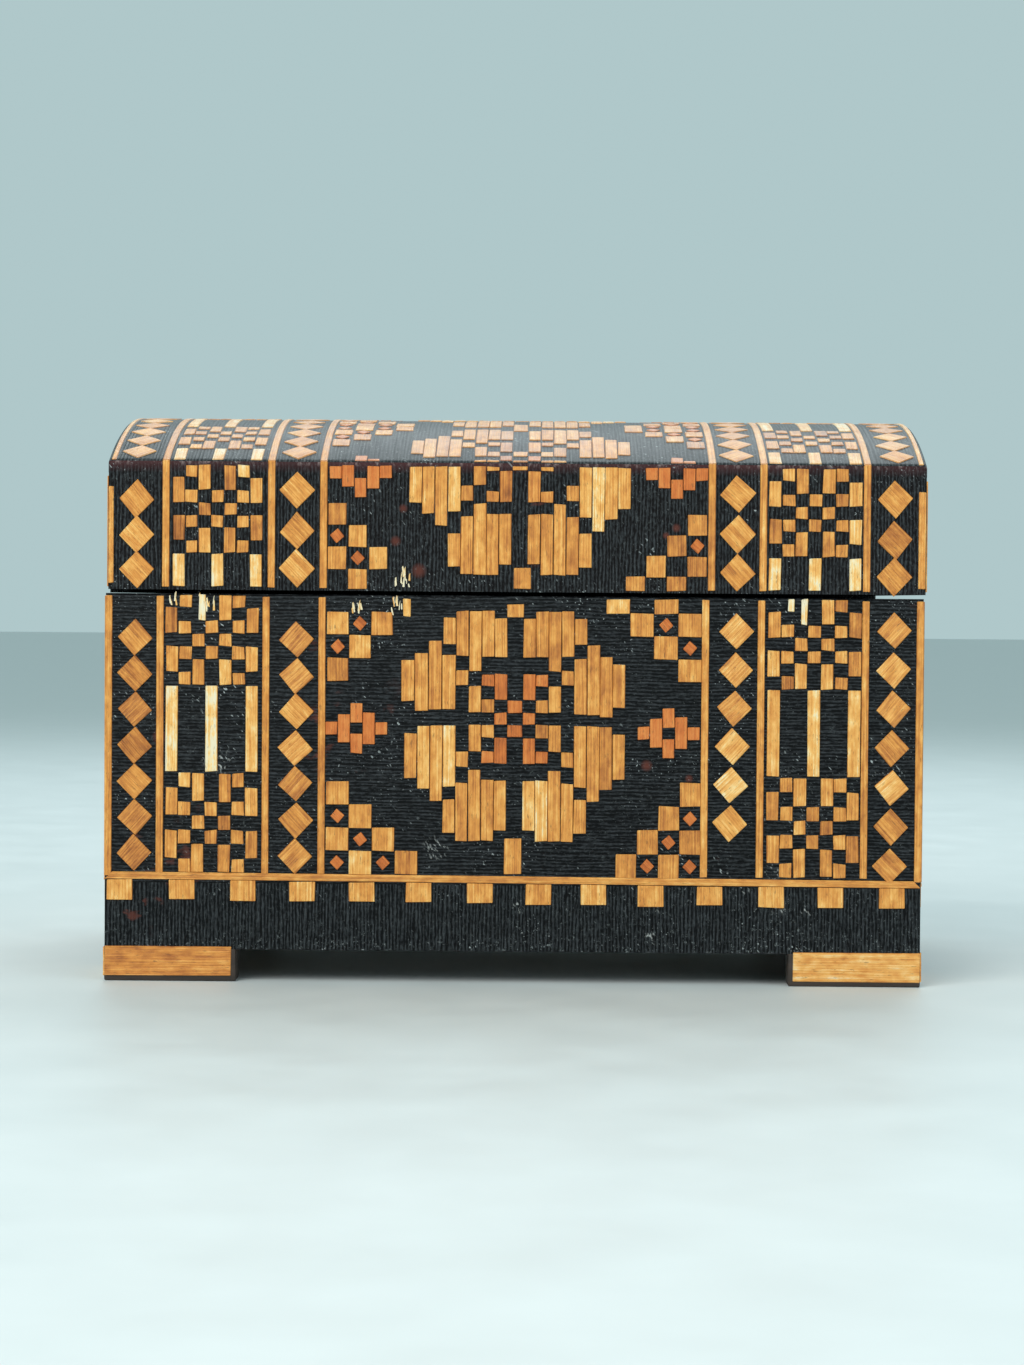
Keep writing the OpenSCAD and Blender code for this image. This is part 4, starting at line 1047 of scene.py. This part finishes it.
def felt_tray(material):
    """Felt lining of the keepsake compartment: thin walls, a slightly crowned floor."""
    lo, hi = box_mm("compartment_lining")
    t = 0.8
    nx, ny, nz = 26, 24, 12
    bm = bmesh.new()

    def shell(x0, x1, y0, y1, z0, z1, wavy):
        """An open box as a grid of points; its walls ripple a little when wavy."""
        def ripple(a, b):
            return wavy * 0.12 * math.sin(a * 0.31 + 1.3) * math.sin(b * 0.23 + 0.4)
        grid = {}

        def vert(i, j, k):
            if (i, j, k) not in grid:
                x = x0 + (x1 - x0) * i / nx
                y = y0 + (y1 - y0) * j / ny
                z = z0 + (z1 - z0) * k / nz
                side = 0.5 * (1 if k else 0)
                if i in (0, nx):
                    x += (1 if i == 0 else -1) * abs(ripple(y, z)) * side
                if j in (0, ny):
                    y += (1 if j == 0 else -1) * abs(ripple(x, z)) * side
                if k == 0:
                    z += wavy * 0.35 * math.sin(math.pi * i / nx) * math.sin(math.pi * j / ny)
                grid[i, j, k] = bm.verts.new(Vector((x, y, z)) * MM)
            return grid[i, j, k]

        for i in range(nx):
            for j in range(ny):
                bm.faces.new((vert(i, j, 0), vert(i + 1, j, 0), vert(i + 1, j + 1, 0), vert(i, j + 1, 0)))
        rings = [[vert(i, j, k) for i, j in border(nx, ny)] for k in range(nz + 1)]
        for low, top in zip(rings, rings[1:]):
            stitch(bm, low, top)
        return rings[-1]

    outer = shell(lo.x, hi.x, lo.y, hi.y, lo.z, hi.z, 0)
    inner = shell(lo.x + t, hi.x - t, lo.y + t, hi.y - t, lo.z + t, hi.z, 1)
    stitch(bm, outer, inner)
    bmesh.ops.recalc_face_normals(bm, faces=bm.faces)
    obj = finish(bm, "felt_tray", "case", "red_felt", material, "compartment_lining", 50)


def felt_lid(material):
    """Felt glued under the bent top, following its curve."""
    lo, hi = box_mm("lid_lining")
    nx, ny = 48, 40
    outer = ARC_R - TOP_T - 0.02
    bm = bmesh.new()
    layers = []
    for depth in (0, 0.46):
        grid = {}
        for i in range(nx + 1):
            x = lo.x + (hi.x - lo.x) * i / nx
            for j in range(ny + 1):
                y = lo.y + (hi.y - lo.y) * j / ny
                nap = 0.03 * math.sin(x * 0.37 + y * 0.11) * math.sin(y * 0.29 + 1) if depth else 0
                reach = outer - depth + nap
                grid[i, j] = bm.verts.new(Vector((x, y, ARC_Z + math.sqrt(reach ** 2 - (y - MID_Y) ** 2))) * MM)
        layers.append(grid)
        for i in range(nx):
            for j in range(ny):
                bm.faces.new((grid[i, j], grid[i + 1, j], grid[i + 1, j + 1], grid[i, j + 1]))
    stitch(bm, *([grid[spot] for spot in border(nx, ny)] for grid in layers))
    bmesh.ops.recalc_face_normals(bm, faces=bm.faces)
    obj = finish(bm, "felt_lid", "lid", "red_felt", material, "lid_lining", 50)


def felt_pad(material):
    """Little felt button under the stop pin."""
    lo, hi = box_mm("stop_pad")
    middle = (lo + hi) / 2
    radius = (hi.x - lo.x) / 2
    tall = hi.z - lo.z
    profile = [(0, 0), (0.82, 0), (0.96, 0.12), (1, 0.35), (0.97, 0.6), (1, 0.8), (0.9, 0.96), (0.6, 1), (0, 1)]
    sides = 28
    bm = bmesh.new()
    rings = []
    for r, t in profile:
        ring = []
        for i in range(sides if r else 1):
            a = 2 * math.pi * i / sides
            frayed = radius * r * (1 - 0.03 * abs(math.sin(a * 5 + t * 4)))
            ring.append(bm.verts.new(Vector((middle.x + frayed * math.cos(a), middle.y + frayed * math.sin(a),
                                             lo.z + t * tall)) * MM))
        rings.append(ring)
    for low, top in zip(rings, rings[1:]):
        if len(low) > 1 and len(top) > 1:
            stitch(bm, low, top)
            continue
        for i in range(sides):
            j = (i + 1) % sides
            bm.faces.new((low[0], top[j], top[i]) if len(low) == 1 else (low[i], low[j], top[0]))
    bmesh.ops.recalc_face_normals(bm, faces=bm.faces)
    obj = finish(bm, "felt_pad", "stop", "green_felt", material, "stop_pad")


# ----- everything together -----

# Worn and dusty places that the photo shows: x and height in millimetres, and radius
PANEL_LINT = ((0.5, 22.5, 2.2), (-15.5, 27.0, 3.0), (52.0, 23.0, 2.0), (26.5, 50.0, 1.6), (-59.5, 44.0, 3.5))
PANEL_SCUFFS = ((26.5, 44.0, 1.3), (35.0, 41.5, 0.9), (-71.0, 49.0, 1.6))
SKIRT_LINT = ((1.0, 15.5, 1.6), (28.0, 16.5, 2.6), (46.0, 19.5, 1.6), (53.5, 16.0, 2.2), (58.5, 15.0, 1.4),
              (27.5, 10.0, 1.4))
LID_SCUFFS = ((-19.3, 82.6, 1.7), (-24.0, 88.5, 1.2), (-22.5, 95.0, 1.0), (32.0, 91.5, 1.0), (30.0, 90.0, 0.8),
              (36.0, 88.5, 0.7))


# Plain materials: name, dark and light colour, and the grain's spacing or the roughness
WOODS = (("foot_wood", (0.020, 0.014, 0.011), (0.055, 0.036, 0.026), (60, 60, 700)),
         ("stained_board", (0.10, 0.055, 0.03), (0.20, 0.12, 0.07), (30, 500, 500)),
         ("bare_wood", (0.30, 0.18, 0.09), (0.52, 0.34, 0.19), (500, 30, 500)))
FELTS = (("red_felt", (0.12, 0.006, 0.012), (0.27, 0.02, 0.03)),
         ("green_felt", (0.03, 0.06, 0.02), (0.08, 0.13, 0.06)))
METALS = (("hinge_brass", (0.30, 0.19, 0.07), (0.66, 0.47, 0.19), 0.38),
          ("cast_brass", (0.45, 0.32, 0.13), (0.78, 0.60, 0.29), 0.30),
          ("bright_brass", (0.55, 0.38, 0.14), (0.83, 0.62, 0.28), 0.2),
          ("steel", (0.32, 0.33, 0.35), (0.60, 0.62, 0.64), 0.28),
          ("spring_steel", (0.08, 0.10, 0.16), (0.18, 0.22, 0.30), 0.3),
          ("fan_aluminium", (0.60, 0.62, 0.64), (0.80, 0.81, 0.82), 0.25))


def build():
    add_camera()
    straw = material_straw()
    brown = {"lines": (2500, 2500, 420), "base": (0.0034, 0.0026, 0.0030), "dust_and_sheen_haze": 0.06}
    look = {
        "black_lacquer": material_lacquer("lacquer_panel", (420, 420, 2700), lit=(0.036, 0.040, 0.044),
                                          lint=PANEL_LINT, scuffs=PANEL_SCUFFS),
        "skirt": material_lacquer("lacquer_skirt", (2700, 2700, 300), dust_and_sheen_haze=0.10, lint=SKIRT_LINT),
        "lid_wall": material_lacquer("lacquer_lid_wall", **brown, scuffs=LID_SCUFFS, crease=True),
        "lid_end": material_lacquer("lacquer_lid_end", **brown),
        # The bent top's lacquer is painted lighter and bluish grey, with a heavy haze: painted sheen, the reflection
        # of the pale surroundings, together with dust
        "lid_lacquer": material_lacquer("lacquer_lid_top_painted_sheen", (1500, 60, 60), (0.014, 0.017, 0.019), (0.28, 0.46), 0.50,
                                        (0.078, 0.086, 0.090)),
        "clear_plastic": material_clear(),
        "straw": straw,
    }
    for make, rows in ((material_wood, WOODS), (material_felt, FELTS), (material_metal, METALS)):
        for row in rows:
            look[row[0]] = make(*row)
    # The bent top's straw carries a pale film that is part dust, part painted sheen
    dusty_sheen_straw = material_straw("dusty_sheen_straw", 0.32)
    for part in frame["record"]["subparts"]:
        mesh = NODES[part["node"]].data
        mesh.materials.clear()
        mesh.materials.append(look[part["material_slot"]])
    for side in ("left", "right"):
        NODES["lid_end_" + side].data.materials[0] = look["lid_end"]
        NODES["plinth_" + side].data.materials[0] = look["skirt"]
    add_studio()
    build_boards(look)
    felt_tray(look["red_felt"])
    felt_lid(look["red_felt"])
    felt_pad(look["green_felt"])
    for node, body, slot, board, width, segments in (
            ("compartment_divider", "case", "bare_wood", "bare_wood", 0.4, 3),
            ("lid_stop_block", "lid", "bare_wood", "stained_board", 0.5, 3),
            ("hinge_leaf_case", "case", "hinge_brass", "hinge_brass", 0.12, 2),
            ("hinge_leaf_lid", "lid", "hinge_brass", "hinge_brass", 0.12, 2)):
        eased(node, body, slot, look[board], width, segments)
    case_front().build(straw, "body_straw")
    case_back().build(straw)
    case_side("straw_case_left", CASE_LEFT, 13).build(straw)
    case_side("straw_case_right", CASE_RIGHT, 14).build(straw)
    lid_front().build(straw, "lid_straw")
    lid_back().build(straw)
    lid_top().build(dusty_sheen_straw)
    lid_side("straw_lid_left", LID_LEFT, 24).build(straw)
    lid_side("straw_lid_right", LID_RIGHT, 25).build(straw)
    feet_straw(straw)


build()
